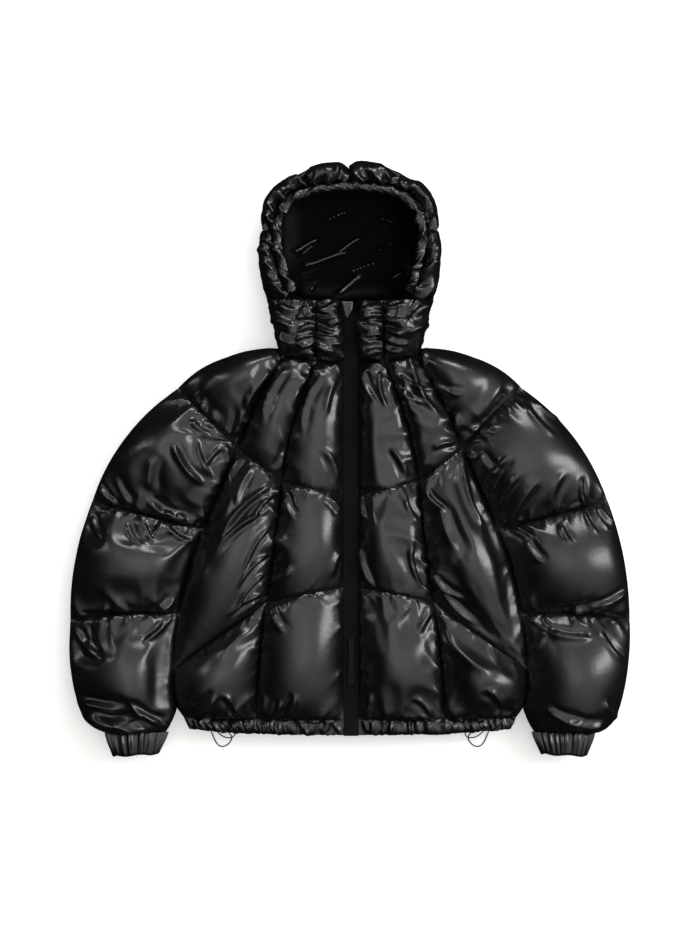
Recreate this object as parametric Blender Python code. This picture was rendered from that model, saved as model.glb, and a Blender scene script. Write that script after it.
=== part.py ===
"""A cropped puffer jacket with a hood, zipped shut, lying on its back with its front up.

Frame: metres, +Z up. +X runs to the wearer's left sleeve and +Y to the hood. The origin is on the
surface that the jacket lies on, under the middle of its outline. The front pieces lie on the plane
where the front meets the back, and the back pieces hang from it to the surface.

Each padded piece is a patch between four edges. The edges are arcs between named corners, written
once and shared by the pieces on both sides, so neighbours meet along the same line.
"""

import math

import bmesh
import bpy
from mathutils import Vector

MM = 0.001
WEARER = {1: "left", -1: "right"}

# Levels, in millimetres above the surface
LEVEL_MID = 44.0  # where the front lies on the back
SEAM_GAP = 0.3
BACK_LOFT = 52.0  # how far a back piece would bulge; the surface flattens it
BACK_SEAM = 0.7  # a back seam's bulge, as a share of the front's
PUFF = 0.6  # 1 is a sine arch, less is fuller at the edges

# Front zip, in millimetres
ZIP_X = 2.0
ZIP_HALF = 12.3
ZIP_LEVEL = 58.0
TAPE_THICKNESS = 2.5
TAPE_TOP_Y = 250.0
TAPE_END_Y = -468.0

# Face opening of the hood
RIM_RADIUS = 10.0
RIM_LEVEL = 84.0
RIM_END_Y = 284.0

# Zip slider and its pull tab
SLIDER_Y = -370.0
SLIDER_SIZE = (11.0, 22.0, 3.4)
SLIDER_BEVEL = 1.2
BRIDGE_WIDTH = 3.2
BRIDGE_LEG = 1.6
BRIDGE_REACH = 3.4  # from the pull's axis to the outside of a leg
BRIDGE_RISE = 5.0  # above the slider's back
AXIS_RISE = 1.8
AXIS_AHEAD = 5.0  # the axis, towards the hood from the slider's middle
PULL_LENGTH = 66.0
PULL_HALF = 4.0
PULL_THICKNESS = 1.5
PULL_SLOT_HALF = 2.1
PULL_SLOT_START = 0.8
PULL_SLOT_END = 6.2
PULL_EYE_RADIUS = 1.6
PULL_EYE_FROM_END = 4.5

CORD_RADIUS = 1.0
CORD_STEPS = 2  # points on the smooth curve between two route points

# Corners of the left half, in millimetres. An x of None is on the zip's edge.
CORNERS = {
    # name: (x, y, height)
    "neck_zip": (None, 167, 58),
    "neck_b": (57, 167, 66),
    "neck_a": (113, 176, 62),
    "neck_out": (121, 190, 58),
    "neck_back": (0, 186, 58),
    "shoulder_mid": (210, 175, 58),
    "shoulder": (293, 122, 56),
    "arm_top": (191, 20, 56),
    "chest_zip": (None, -56, 58),
    "chest_b": (116, -34, 62),
    "chest_back": (0, -44, 56),
    "waist_zip": (None, -216, 58),
    "waist_c": (142, -241, 60),
    "waist_back": (0, -262, 56),
    "waist_out": (300, -354, 50),
    "underarm": (290, -262, 50),
    "arm_mid": (250, -118, 52),
    "fork": (294, -421, 54),
    "hem_zip": (None, -440, 58),
    "hem_c": (160, -440, 54),
    "hem_out": (283, -436, 54),
    "hem_back": (0, -440, 52),
    "hem_edge_zip": (None, -467, 54),
    "hem_edge_out": (273, -457, 52),
    "hem_edge_back": (0, -468, 50),
    "sleeve_1": (438, -68, 56),
    "sleeve_2": (476, -272, 56),
    "sleeve_end": (455, -436, 57),
    "cuff_out": (413, -464, 50),
    "cuff_in": (313, -462, 50),
    "cuff_edge_out": (403, -503, 50),
    "cuff_edge_in": (325, -499, 50),
    "collar_zip": (None, 270, 66),
    "collar_b": (57, 270, 76),
    "hood_notch": (0, 494, 58),
    "crown_1": (81, 479, 58),
    "crown_2": (147, 390, 58),
    "hood_side": (143, 279, 58),
    "rim_top": (0, 471, 80),
    "rim_1": (62, 467, 80),
    "rim_2": (134, 386, 80),
    "rim_3": (103, 273, 78),
}

# Seams and edges. Bow is the arc's height to the left of the way it runs, and lift is how far its
# middle stands above the line between its ends. Millimetres, and the steps it is drawn in.
SEAMS = {
    # name: (from, to, bow, lift, steps)
    "neck_1": ("neck_zip", "neck_b", 0, 6, 6),
    "neck_2": ("neck_b", "neck_a", 0, 4, 6),
    "neck_3": ("neck_a", "neck_out", 0, 0, 2),
    "zip_yoke": ("neck_zip", "chest_zip", 0, 0, 9),
    "zip_chest": ("chest_zip", "waist_zip", 0, 0, 11),
    "zip_lower": ("waist_zip", "hem_zip", 0, 0, 9),
    "spoke_b": ("neck_b", "chest_b", 8, 12, 9),
    "spoke_a": ("neck_a", "arm_top", 3, 8, 9),
    "shoulder_1": ("neck_out", "shoulder_mid", 5, 0, 5),
    "shoulder_2": ("shoulder_mid", "shoulder", 7, 0, 9),
    "sleeve_head": ("shoulder", "arm_top", -3, 16, 7),
    "arc_1_in": ("chest_zip", "chest_b", -3, 26, 6),
    "arc_1_out": ("chest_b", "arm_top", 0, 18, 6),
    "spoke_c_up": ("chest_b", "waist_c", -3, 6, 11),
    "spoke_c_low": ("waist_c", "hem_c", 3, 4, 9),
    "arc_2_in": ("waist_zip", "waist_c", 2, 26, 6),
    "arc_2_out": ("waist_c", "waist_out", 0, 10, 6),
    "armhole_1": ("arm_top", "arm_mid", 0, 0, 4),
    "armhole_2": ("arm_mid", "underarm", 5, 0, 4),
    "side_1": ("underarm", "waist_out", 3, 0, 3),
    "side_2": ("waist_out", "fork", 3, 0, 6),
    "side_3": ("fork", "hem_out", 0, 0, 3),
    "sleeve_fork": ("fork", "cuff_in", -2, 0, 2),
    "hem_1": ("hem_zip", "hem_c", -2, 8, 6),
    "hem_2": ("hem_c", "hem_out", -2, 4, 6),
    "hem_edge": ("hem_edge_zip", "hem_edge_out", -3, 4, 12),
    "hem_front_end": ("hem_zip", "hem_edge_zip", 0, 0, 3),
    "hem_side_end": ("hem_out", "hem_edge_out", 0, 0, 3),
    "outline_1": ("shoulder", "sleeve_1", 20, 0, 4),
    "outline_2": ("sleeve_1", "sleeve_2", 10, 0, 4),
    "outline_3": ("sleeve_2", "sleeve_end", 8, 0, 8),
    "outline_4": ("sleeve_end", "cuff_out", 7, 0, 3),
    "ring_1": ("sleeve_1", "arm_mid", 0, 14, 7),
    "ring_2": ("sleeve_2", "underarm", -8, 14, 7),
    "cuff": ("cuff_out", "cuff_in", 0, 6, 7),
    "cuff_outer": ("cuff_out", "cuff_edge_out", 0, 0, 3),
    "cuff_edge": ("cuff_edge_out", "cuff_edge_in", 2, 4, 7),
    "cuff_inner": ("cuff_in", "cuff_edge_in", 0, 0, 3),
    "collar_front": ("collar_zip", "neck_zip", 0, 0, 6),
    "collar_top_1": ("collar_zip", "collar_b", 0, 2, 6),
    "collar_gather": ("collar_b", "neck_b", 0, 4, 6),
    "collar_top_2": ("collar_b", "rim_3", 0, 2, 5),
    "hood_neck": ("rim_3", "hood_side", 0, 6, 3),
    "collar_side": ("hood_side", "neck_out", 0, 0, 6),
    "crown_arc_1": ("hood_notch", "crown_1", 16, 0, 6),
    "crown_arc_2": ("crown_1", "crown_2", 24, 0, 7),
    "crown_arc_3": ("crown_2", "hood_side", 5, 0, 7),
    "hood_middle": ("hood_notch", "rim_top", 0, 10, 3),
    "hood_seam_1": ("crown_1", "rim_1", 0, 6, 3),
    "hood_seam_2": ("crown_2", "rim_2", 0, 4, 3),
    "rim_arc_1": ("rim_top", "rim_1", 2, 0, 6),
    "rim_arc_2": ("rim_1", "rim_2", 20, 0, 7),
    "rim_arc_3": ("rim_2", "rim_3", 7, 0, 7),
    "neck_half": ("neck_back", "neck_out", 0, 0, 6),
    "yoke_neck": ("neck_back", "neck_a", 0, 0, 6),
    "chest_half": ("chest_back", "arm_top", -14, 0, 6),
    "waist_half": ("waist_back", "waist_out", 20, 0, 6),
    "hem_half": ("hem_back", "hem_out", 0, 0, 6),
    "hem_edge_half": ("hem_edge_back", "hem_edge_out", -2, 0, 6),
}

# Pieces of one side of the front: the corner where the walk round it starts, its four edges, and
# the height of its crown in millimetres.
FRONT_PIECES = {
    # name: (first corner, edge 1, edge 2, edge 3, edge 4, crown)
    "yoke_centre": ("neck_zip", "neck_1", "spoke_b", "arc_1_in", "zip_yoke", 98),
    "yoke_middle": ("neck_b", "neck_2", "spoke_a", "arc_1_out", "spoke_b", 100),
    "shoulder": ("neck_a", "neck_3 shoulder_1", "shoulder_2", "sleeve_head", "spoke_a", 98),
    "chest_centre": ("chest_zip", "arc_1_in", "spoke_c_up", "arc_2_in", "zip_chest", 104),
    "chest_side": (
        "chest_b", "arc_1_out", "armhole_1 armhole_2 side_1", "arc_2_out", "spoke_c_up", 108,
    ),
    "lower_centre": ("waist_zip", "arc_2_in", "spoke_c_low", "hem_1", "zip_lower", 104),
    "lower_side": ("waist_c", "arc_2_out", "side_2 side_3", "hem_2", "spoke_c_low", 102),
    "hem_band": ("hem_zip", "hem_1 hem_2", "hem_side_end", "hem_edge", "hem_front_end", 62),
    "collar_centre": ("neck_zip", "neck_1", "collar_gather", "collar_top_1", "collar_front", 90),
    "collar_outer": (
        "neck_b", "neck_2 neck_3", "collar_side", "hood_neck collar_top_2", "collar_gather", 92,
    ),
    "hood_crown": ("hood_notch", "crown_arc_1", "hood_seam_1", "rim_arc_1", "hood_middle", 106),
    "hood_temple": ("crown_1", "crown_arc_2", "hood_seam_2", "rim_arc_2", "hood_seam_1", 104),
    "hood_cheek": ("crown_2", "crown_arc_3", "hood_neck", "rim_arc_3", "hood_seam_2", 102),
}

# Pieces that the front and the back of each side both have
TUBE_PIECES = {
    "sleeve_upper": ("shoulder", "outline_1", "ring_1", "armhole_1", "sleeve_head", 104),
    "sleeve_middle": ("sleeve_1", "outline_2", "ring_2", "armhole_2", "ring_1", 104),
    "sleeve_lower": (
        "sleeve_2", "outline_3 outline_4", "cuff", "sleeve_fork side_2 side_1", "ring_2", 106,
    ),
    "cuff": ("cuff_out", "cuff_outer", "cuff_edge", "cuff_inner", "cuff", 66),
}

# Back pieces of each side, and those that cross the middle: half of the upper edge, the side, half
# of the lower edge, and how far the piece bulges towards the surface.
BACK_SHOULDER = "shoulder"
BACK_PIECES = {
    # name: (upper half, side, lower half, loft)
    "hood_back": ("crown_arc_1", "crown_arc_2 crown_arc_3 collar_side", "neck_half", BACK_LOFT),
    "back_yoke": ("yoke_neck", "spoke_a", "chest_half", BACK_LOFT),
    "back_chest": ("chest_half", "armhole_1 armhole_2 side_1", "waist_half", BACK_LOFT),
    "back_lower": ("waist_half", "side_2 side_3", "hem_half", BACK_LOFT),
    "back_hem_band": ("hem_half", "hem_side_end", "hem_edge_half", 16),
}

# Routes of the elastic cords on the left half, in millimetres
HEM_CORD = [
    (196.2, -464.5, 36), (196.2, -467.5, 33), (199.5, -471.8, 27), (206.0, -474.2, 20),
    (213.5, -473.2, 14.5), (221.0, -469.6, 11), (227.0, -464.2, 9), (228.5, -457.5, 8.5),
    (230.0, -451.0, 8.5), (234.5, -448.0, 8.5), (239.0, -451.0, 8.5), (239.2, -457.5, 8),
    (237.0, -465.0, 5), (233.9, -473.0, 2), (230.4, -481.0, 1.1), (225.6, -487.4, 1.1),
    (219.0, -490.4, 1.1), (211.8, -488.6, 1.1), (205.4, -482.8, 1.1), (202.0, -475.4, 1.3),
    (205.6, -468.2, 4), (211.5, -461.8, 10), (216.5, -456.0, 18), (219.5, -452.5, 26.6),
]
HOOD_CORD = [
    (61.0, 271.5, 90), (56.0, 267.5, 93.5), (53.2, 260.0, 95), (54.0, 251.5, 95.2),
    (58.2, 244.2, 95.2), (65.0, 240.2, 95.2), (72.6, 240.8, 95.2), (78.4, 245.8, 95.2),
    (80.6, 253.5, 95.2), (79.4, 261.5, 95.2), (75.4, 268.0, 94), (70.0, 271.8, 90.5),
]

CHIN_FLAP = [(-16, 268), (6, 268), (4, 252), (-5, 237), (-9, 241)]
FLAP_LEVEL = 88.0

SHELL_COLOUR = (0.012, 0.012, 0.011, 1.0)
TAPE_COLOUR = (0.012, 0.012, 0.011, 1.0)
METAL_COLOUR = (0.02, 0.02, 0.02, 1.0)
CORD_COLOUR = (0.008, 0.008, 0.008, 1.0)


def collection(name):
    made = bpy.data.collections.new(name)
    bpy.context.scene.collection.children.link(made)
    return made


def material(name, colour, roughness, metallic=0.0):
    made = bpy.data.materials.new(name)
    made.use_nodes = True
    shader = made.node_tree.nodes["Principled BSDF"]
    shader.inputs["Base Color"].default_value = colour
    shader.inputs["Roughness"].default_value = roughness
    shader.inputs["Metallic"].default_value = metallic
    return made


def add_object(name, data, where, looks):
    made = bpy.data.objects.new(name, data)
    where.objects.link(made)
    data.materials.append(looks)
    return made


def mesh_object(name, bm, where, looks, smooth_below=50):
    """The bmesh as an object, in metres, with its faces turned outwards."""
    bmesh.ops.scale(bm, vec=(MM, MM, MM), verts=bm.verts)
    bmesh.ops.recalc_face_normals(bm, faces=bm.faces)
    mesh = bpy.data.meshes.new(name)
    bm.to_mesh(mesh)
    bm.free()
    mesh.shade_smooth()
    mesh.set_sharp_from_angle(angle=math.radians(smooth_below))
    return add_object(name, mesh, where, looks)


def corner(name, side):
    """A corner on one side: 1 is the wearer's left, -1 the right."""
    x, y, z = CORNERS[name]
    across = ZIP_X + side * ZIP_HALF if x is None else side * x
    return Vector((across, y, z))


def seam(name, side):
    """The seam's points, from its first corner to its last."""
    first, last, bow, lift, steps = SEAMS[name]
    start, end = corner(first, side), corner(last, side)
    run = end - start
    left = Vector((-run.y, run.x, 0)).normalized() * side
    points = []
    for step in range(steps + 1):
        share = step / steps
        arch = 4 * share * (1 - share)
        points.append(start + run * share + left * bow * arch + Vector((0, 0, lift * arch)))
    return points


def walk(names, start, side):
    """Points along several seams, each turned the way the walk goes, and the corner it ends at."""
    points, here = [], start
    for name in names.split():
        first, last = SEAMS[name][:2]
        run = seam(name, side)
        if here != first:
            run.reverse()
        here = last if here == first else first
        points += run if not points else run[1:]
    return points, here


def inset(edges, gap):
    """Four edges that make a loop, moved inwards by the gap in plan."""
    loop = [point for edge in edges for point in edge[:-1]]
    area = sum(a.x * b.y - a.y * b.x for a, b in zip(loop, loop[1:] + loop[:1]))
    turn = 1 if area > 0 else -1
    moved = []
    for index, point in enumerate(loop):
        back = (point - loop[index - 1]).to_2d().normalized()
        ahead = (loop[(index + 1) % len(loop)] - point).to_2d().normalized()
        in_1 = Vector((-back.y, back.x)) * turn
        in_2 = Vector((-ahead.y, ahead.x)) * turn
        shift = (in_1 + in_2) * gap / max(0.4, 1 + in_1.dot(in_2))
        moved.append(point + shift.to_3d())
    inner, start = [], 0
    for edge in edges:
        stop = start + len(edge) - 1
        inner.append([moved[i % len(moved)] for i in range(start, stop + 1)])
        start = stop
    return inner


def patch(edges, crown):
    """Rows of points between four edges, raised to the crown in the middle."""
    upper, right, lower, left = edges
    lower, left = lower[::-1], left[::-1]
    wide, tall = len(upper) - 1, len(right) - 1
    rows = []
    for j in range(tall + 1):
        v = j / tall
        row = []
        for i in range(wide + 1):
            u = i / wide
            ruled = upper[i] * (1 - v) + lower[i] * v + left[j] * (1 - u) + right[j] * u
            corners = (upper[0] * (1 - u) + upper[-1] * u) * (1 - v)
            corners += (lower[0] * (1 - u) + lower[-1] * u) * v
            point = ruled - corners
            arch = max(0.0, math.sin(math.pi * u) * math.sin(math.pi * v)) ** PUFF
            point.z += (crown - point.z) * arch
            row.append(point)
        rows.append(row)
    return rows


def padded_piece(name, edges, crown, where, looks, under=False):
    """A padded piece on the middle plane: above it, or under it and flattened by the surface."""
    edges = inset(edges, SEAM_GAP / 2)
    rows = patch(edges, crown)
    plane = LEVEL_MID + SEAM_GAP / 2
    if under:
        plane = LEVEL_MID - SEAM_GAP / 2
        for row in rows:
            for point in row:
                point.z = max(0.0, plane - (point.z - LEVEL_MID))
    wide, tall = len(rows[0]) - 1, len(rows) - 1
    bm = bmesh.new()
    bmesh.ops.create_grid(bm, x_segments=wide, y_segments=tall, size=1.0)
    shaped = sorted(bm.verts, key=lambda vert: (round(vert.co.y, 4), round(vert.co.x, 4)))
    for vert, point in zip(shaped, [point for row in rows for point in row]):
        vert.co = point
    bmesh.ops.triangulate(bm, faces=bm.faces)
    made = bmesh.ops.extrude_edge_only(bm, edges=[edge for edge in bm.edges if edge.is_boundary])
    for item in made["geom"]:
        if isinstance(item, bmesh.types.BMVert):
            item.co.z = plane
    bmesh.ops.contextual_create(bm, geom=[edge for edge in bm.edges if edge.is_boundary])
    return mesh_object(name, bm, where, looks)


def four_edges(row, side):
    """The four edges of a piece of one side, as lists of points."""
    here, edges = row[0], []
    for names in row[1:5]:
        points, here = walk(names, here, side)
        edges.append(points)
    return edges


def crossing_edges(upper, side_names, lower):
    """The four edges of a piece that crosses the middle of the back."""
    top_left, here = walk(upper, SEAMS[upper][0], 1)
    top_right = seam(upper, -1)
    down_left, _ = walk(side_names, here, 1)
    down_right, _ = walk(side_names, here, -1)
    foot_left, foot_right = seam(lower, 1), seam(lower, -1)
    across_top = top_right[::-1] + top_left[1:]
    across_foot = foot_left[::-1] + foot_right[1:]
    return [across_top, down_left, across_foot, down_right[::-1]]


def deepen(edges):
    """Back seams lie nearer the middle plane than those of the front."""
    for edge in edges:
        for point in edge:
            point.z = LEVEL_MID + (point.z - LEVEL_MID) * BACK_SEAM
    return edges


def smooth_route(route, steps):
    """Points of a smooth curve through the route's points, by Catmull-Rom."""
    ends = [route[0] * 2 - route[1]] + route + [route[-1] * 2 - route[-2]]
    points = []
    for index in range(1, len(ends) - 2):
        a, b, c, d = ends[index - 1 : index + 3]
        for step in range(steps):
            t = step / steps
            slope = (c - a) * t + (a * 2 - b * 5 + c * 4 - d) * t**2
            points.append((b * 2 + slope + (b * 3 - a - c * 3 + d) * t**3) / 2)
    return points + [route[-1]]


def tube(name, points, radius, where, looks, resolution=2):
    """A round tube along the points, with filled caps."""
    data = bpy.data.curves.new(name, "CURVE")
    data.dimensions = "3D"
    data.bevel_depth = radius * MM
    data.bevel_resolution = resolution
    data.use_fill_caps = True
    spline = data.splines.new("POLY")
    spline.points.add(len(points) - 1)
    for target, point in zip(spline.points, points):
        target.co = (point * MM).to_4d()
    return add_object(name, data, where, looks)


def flat_piece(name, outline, bottom, thickness, where, looks, holes=()):
    """A flat piece cut to an outline, with round-cornered holes where they are given."""
    data = bpy.data.curves.new(name, "CURVE")
    data.dimensions = "2D"
    data.fill_mode = "BOTH"
    data.extrude = thickness / 2 * MM
    for ring in [outline, *holes]:
        spline = data.splines.new("POLY")
        spline.points.add(len(ring) - 1)
        for target, (x, y) in zip(spline.points, ring):
            target.co = (x * MM, y * MM, 0, 1)
        spline.use_cyclic_u = True
    made = add_object(name, data, where, looks)
    made.location.z = (bottom + thickness / 2) * MM
    return made


def block(bm, size, centre):
    """A box added to the bmesh, by its size and middle."""
    made = bmesh.ops.create_cube(bm, size=1.0)
    bmesh.ops.scale(bm, vec=size, verts=made["verts"])
    bmesh.ops.translate(bm, vec=centre, verts=made["verts"])
    return made["verts"]


def join(base, tool):
    """Unites the tool object with the base, and removes the tool."""
    union = base.modifiers.new("Union", "BOOLEAN")
    union.operation = "UNION"
    union.solver = "EXACT"
    union.object = tool
    bpy.context.view_layer.update()
    mesh = bpy.data.meshes.new_from_object(base.evaluated_get(bpy.context.evaluated_depsgraph_get()))
    base.modifiers.remove(union)
    base.data = mesh
    bpy.data.objects.remove(tool)


def make_padded_pieces(where):
    for side, wearer in WEARER.items():
        for name, row in FRONT_PIECES.items():
            looks = material(f"{name}_{wearer}_nylon", SHELL_COLOUR, 0.3)
            padded_piece(f"{name}_{wearer}", four_edges(row, side), row[5], where, looks)
        for name, row in TUBE_PIECES.items():
            front, back = f"{name}_front_{wearer}", f"{name}_back_{wearer}"
            looks = material(f"{front}_nylon", SHELL_COLOUR, 0.3)
            padded_piece(front, four_edges(row, side), row[5], where, looks)
            looks = material(f"{back}_nylon", SHELL_COLOUR, 0.3)
            loft = BACK_LOFT if row[5] > LEVEL_MID + BACK_LOFT else row[5] - LEVEL_MID
            edges = deepen(four_edges(row, side))
            padded_piece(back, edges, LEVEL_MID + loft, where, looks, under=True)
        name = f"back_shoulder_{wearer}"
        looks = material(f"{name}_nylon", SHELL_COLOUR, 0.3)
        edges = deepen(four_edges(FRONT_PIECES[BACK_SHOULDER], side))
        padded_piece(name, edges, LEVEL_MID + BACK_LOFT, where, looks, under=True)
    for name, (upper, side_names, lower, loft) in BACK_PIECES.items():
        looks = material(f"{name}_nylon", SHELL_COLOUR, 0.3)
        edges = deepen(crossing_edges(upper, side_names, lower))
        padded_piece(name, edges, LEVEL_MID + loft, where, looks, under=True)


def make_rim(where):
    """The gathered channel round the face opening, a tube in two halves."""
    for side, wearer in WEARER.items():
        edge, _ = walk("rim_arc_1 rim_arc_2 rim_arc_3", "rim_top", side)
        route = []
        for index, point in enumerate(edge):
            before, after = edge[max(0, index - 1)], edge[min(len(edge) - 1, index + 1)]
            run = (after - before).to_2d().normalized()
            inwards = Vector((run.y, -run.x)) * side
            middle = point.to_2d() + inwards * (RIM_RADIUS + SEAM_GAP)
            if middle.y > RIM_END_Y:
                route.append(Vector((middle.x, middle.y, RIM_LEVEL)))
        route[0] = Vector((side * SEAM_GAP / 2, route[1].y, RIM_LEVEL))
        looks = material(f"hood_rim_{wearer}_nylon", SHELL_COLOUR, 0.3)
        tube(f"hood_rim_{wearer}", route, RIM_RADIUS, where, looks)


def make_zip(where):
    half = ZIP_HALF - SEAM_GAP
    bm = bmesh.new()
    length = TAPE_TOP_Y - TAPE_END_Y
    middle = (ZIP_X, (TAPE_TOP_Y + TAPE_END_Y) / 2, ZIP_LEVEL - TAPE_THICKNESS / 2)
    block(bm, (2 * half, length, TAPE_THICKNESS), middle)
    mesh_object("zip_tape", bm, where, material("zip_tape_cloth", TAPE_COLOUR, 0.7))
    looks = material("chin_flap_nylon", SHELL_COLOUR, 0.3)
    flat_piece("chin_flap", CHIN_FLAP, FLAP_LEVEL, TAPE_THICKNESS, where, looks)


def make_slider(where):
    """The slider: a flat body with the bridge that holds the pull."""
    bottom = ZIP_LEVEL + SEAM_GAP
    top = bottom + SLIDER_SIZE[2]
    axis_y = SLIDER_Y + AXIS_AHEAD
    bm = bmesh.new()
    block(bm, SLIDER_SIZE, (ZIP_X, SLIDER_Y, bottom + SLIDER_SIZE[2] / 2))
    upright = [edge for edge in bm.edges if abs(edge.verts[0].co.z - edge.verts[1].co.z) > 1]
    bmesh.ops.bevel(bm, geom=upright, offset=SLIDER_BEVEL * 2, segments=3, profile=0.5, affect="EDGES")
    looks = material("zip_slider_metal", METAL_COLOUR, 0.4, 1.0)
    slider = mesh_object("zip_slider", bm, where, looks)
    bridge_bm = bmesh.new()
    sunk = 1.0
    leg_height = BRIDGE_RISE + sunk
    for way in (1, -1):
        leg_y = axis_y + way * (BRIDGE_REACH - BRIDGE_LEG / 2)
        block(bridge_bm, (BRIDGE_WIDTH, BRIDGE_LEG, leg_height), (ZIP_X, leg_y, top - sunk + leg_height / 2))
    legs = mesh_object("bridge_legs", bridge_bm, where, looks)
    join(slider, legs)
    top_bm = bmesh.new()
    block(
        top_bm,
        (BRIDGE_WIDTH, 2 * BRIDGE_REACH, BRIDGE_LEG),
        (ZIP_X, axis_y, top + BRIDGE_RISE - BRIDGE_LEG / 2),
    )
    join(slider, mesh_object("bridge_top", top_bm, where, looks))
    return Vector((ZIP_X, axis_y, top + AXIS_RISE))


def rectangle(half, low, high):
    return [(-half, low), (half, low), (half, high), (-half, high)]


def round_hole(radius, y, points=10):
    turns = [2 * math.pi * index / points for index in range(points)]
    return [(radius * math.cos(turn), y + radius * math.sin(turn)) for turn in turns]


def make_pull(axis, where):
    """The pull tab: it lies towards the hood, and its cross bar turns under the bridge."""
    end = PULL_LENGTH
    shoulder, tip = PULL_HALF, PULL_HALF / 2
    outline = [
        (-shoulder, -PULL_SLOT_START), (shoulder, -PULL_SLOT_START), (shoulder, end - tip),
        (tip, end), (-tip, end), (-shoulder, end - tip),
    ]
    holes = [
        rectangle(PULL_SLOT_HALF, PULL_SLOT_START, PULL_SLOT_END),
        round_hole(PULL_EYE_RADIUS, end - PULL_EYE_FROM_END),
    ]
    looks = material("zip_pull_metal", METAL_COLOUR, 0.4, 1.0)
    pull = flat_piece("zip_pull", outline, -PULL_THICKNESS / 2, PULL_THICKNESS, where, looks, holes)
    pull.location = axis * MM


def make_cords(where):
    for side, wearer in WEARER.items():
        for name, table in (("hem_cord", HEM_CORD), ("hood_cord", HOOD_CORD)):
            route = [Vector((side * x, y, z)) for x, y, z in table]
            looks = material(f"{name}_{wearer}_elastic", CORD_COLOUR, 0.6)
            points = smooth_route(route, CORD_STEPS)
            tube(f"{name}_{wearer}", points, CORD_RADIUS, where, looks)


def main():
    for old in list(bpy.data.objects):
        bpy.data.objects.remove(old)
    jacket = collection("puffer_jacket")
    make_padded_pieces(jacket)
    make_rim(jacket)
    make_zip(jacket)
    axis = make_slider(jacket)
    make_pull(axis, jacket)
    make_cords(jacket)


main()
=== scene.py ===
"""The looks of the hooded puffer jacket: padded nylon panels, gathers, zip, cords and the studio.

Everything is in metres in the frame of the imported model. The tables of corners and seams are in
millimetres, and MM turns them into metres.
"""

import bpy
import bmesh
import math
import numpy as np
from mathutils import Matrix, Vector


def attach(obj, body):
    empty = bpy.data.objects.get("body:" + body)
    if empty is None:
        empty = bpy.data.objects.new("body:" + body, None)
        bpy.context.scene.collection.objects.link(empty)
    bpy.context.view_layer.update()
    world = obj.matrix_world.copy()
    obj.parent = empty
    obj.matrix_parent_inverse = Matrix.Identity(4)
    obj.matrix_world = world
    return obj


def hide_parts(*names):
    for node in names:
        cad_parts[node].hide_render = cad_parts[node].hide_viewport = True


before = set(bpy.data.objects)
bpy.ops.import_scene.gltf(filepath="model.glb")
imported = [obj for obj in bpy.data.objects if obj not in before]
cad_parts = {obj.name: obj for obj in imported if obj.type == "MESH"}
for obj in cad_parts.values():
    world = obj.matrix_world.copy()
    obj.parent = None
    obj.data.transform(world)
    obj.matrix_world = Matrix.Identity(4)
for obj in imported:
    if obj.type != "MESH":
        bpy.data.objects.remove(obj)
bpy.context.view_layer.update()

MM = 0.001
WEARER = {1: "left", -1: "right"}
BODY = "jacket"

# Levels, in millimetres above the floor
LEVEL_MID = 44.0
ZIP_LEVEL = 58.0
ZIP_X = 2.0
ZIP_HALF = 12.3
RIM_RADIUS = 10.0
RIM_LEVEL = 84.0
RIM_END_Y = 284.0
RIM_SWELL = 12.5

# Cloth grid and its simulation
FRONT_CELL = 3.6
FINE_CELL = 2.5
BACK_CELL = 7.0
FRAMES = 20
PRESSURE = 3.0
CAP = 14.0  # the most a point of a panel may move while it puffs, in millimetres
SLACK = 0.0  # spare cloth in the middle of a panel
GATHERED_SLACK = 0.34  # spare cloth beside a gathered seam
GATHER_REACH = 26.0
STIFFNESS = 0.6
WANDER_REACH = 7.0
PUFF = 0.74  # power of a sine section: less is fuller near the seams
LOBE = 0.42  # the same on the hood's pieces
ROUND = 0.5  # the same where a piece rolls over the outline
FLOOR_GLOW = 0.4
# The sky's direction of most light, and its levels from the horizon (0) to that direction (1)
SKY_LEAN = (0.34, 0.1, 0.935)
SKY = ((0.001, 0.01), (0.22, 0.012), (0.5, 0.15), (0.68, 0.64), (0.85, 1.02), (0.999, 1.3))
SKY_TINT = (0.99, 1.03, 0.96)
SHARP_ABOVE = 75  # degrees between faces
THINNED = 0.58  # share of a pad's faces that is kept, most of them where it folds
BANDS = ("hem_band",)
BAND_PLEAT_WIDTH = 11.0
BAND_PLEAT_HEIGHT = 8.0
LOBE_PLEAT_WIDTH = 24.0
LOBE_PLEAT_HEIGHT = 15.0
PLEAT_SHARPNESS = 1.5  # more than 1 gives narrow crests and wide valleys
FINE_PIECES = ("hem_band", "collar_centre", "collar_outer")
INNER_LOW = 3.0  # the hood's inside lies above this height
CREASE_SHADE_PAINTED_BELOW = 2.9  # folds of the hood's inside lower than this get painted shade
HOOD_LOBES = ("hood_crown", "hood_temple", "hood_cheek")

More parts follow.
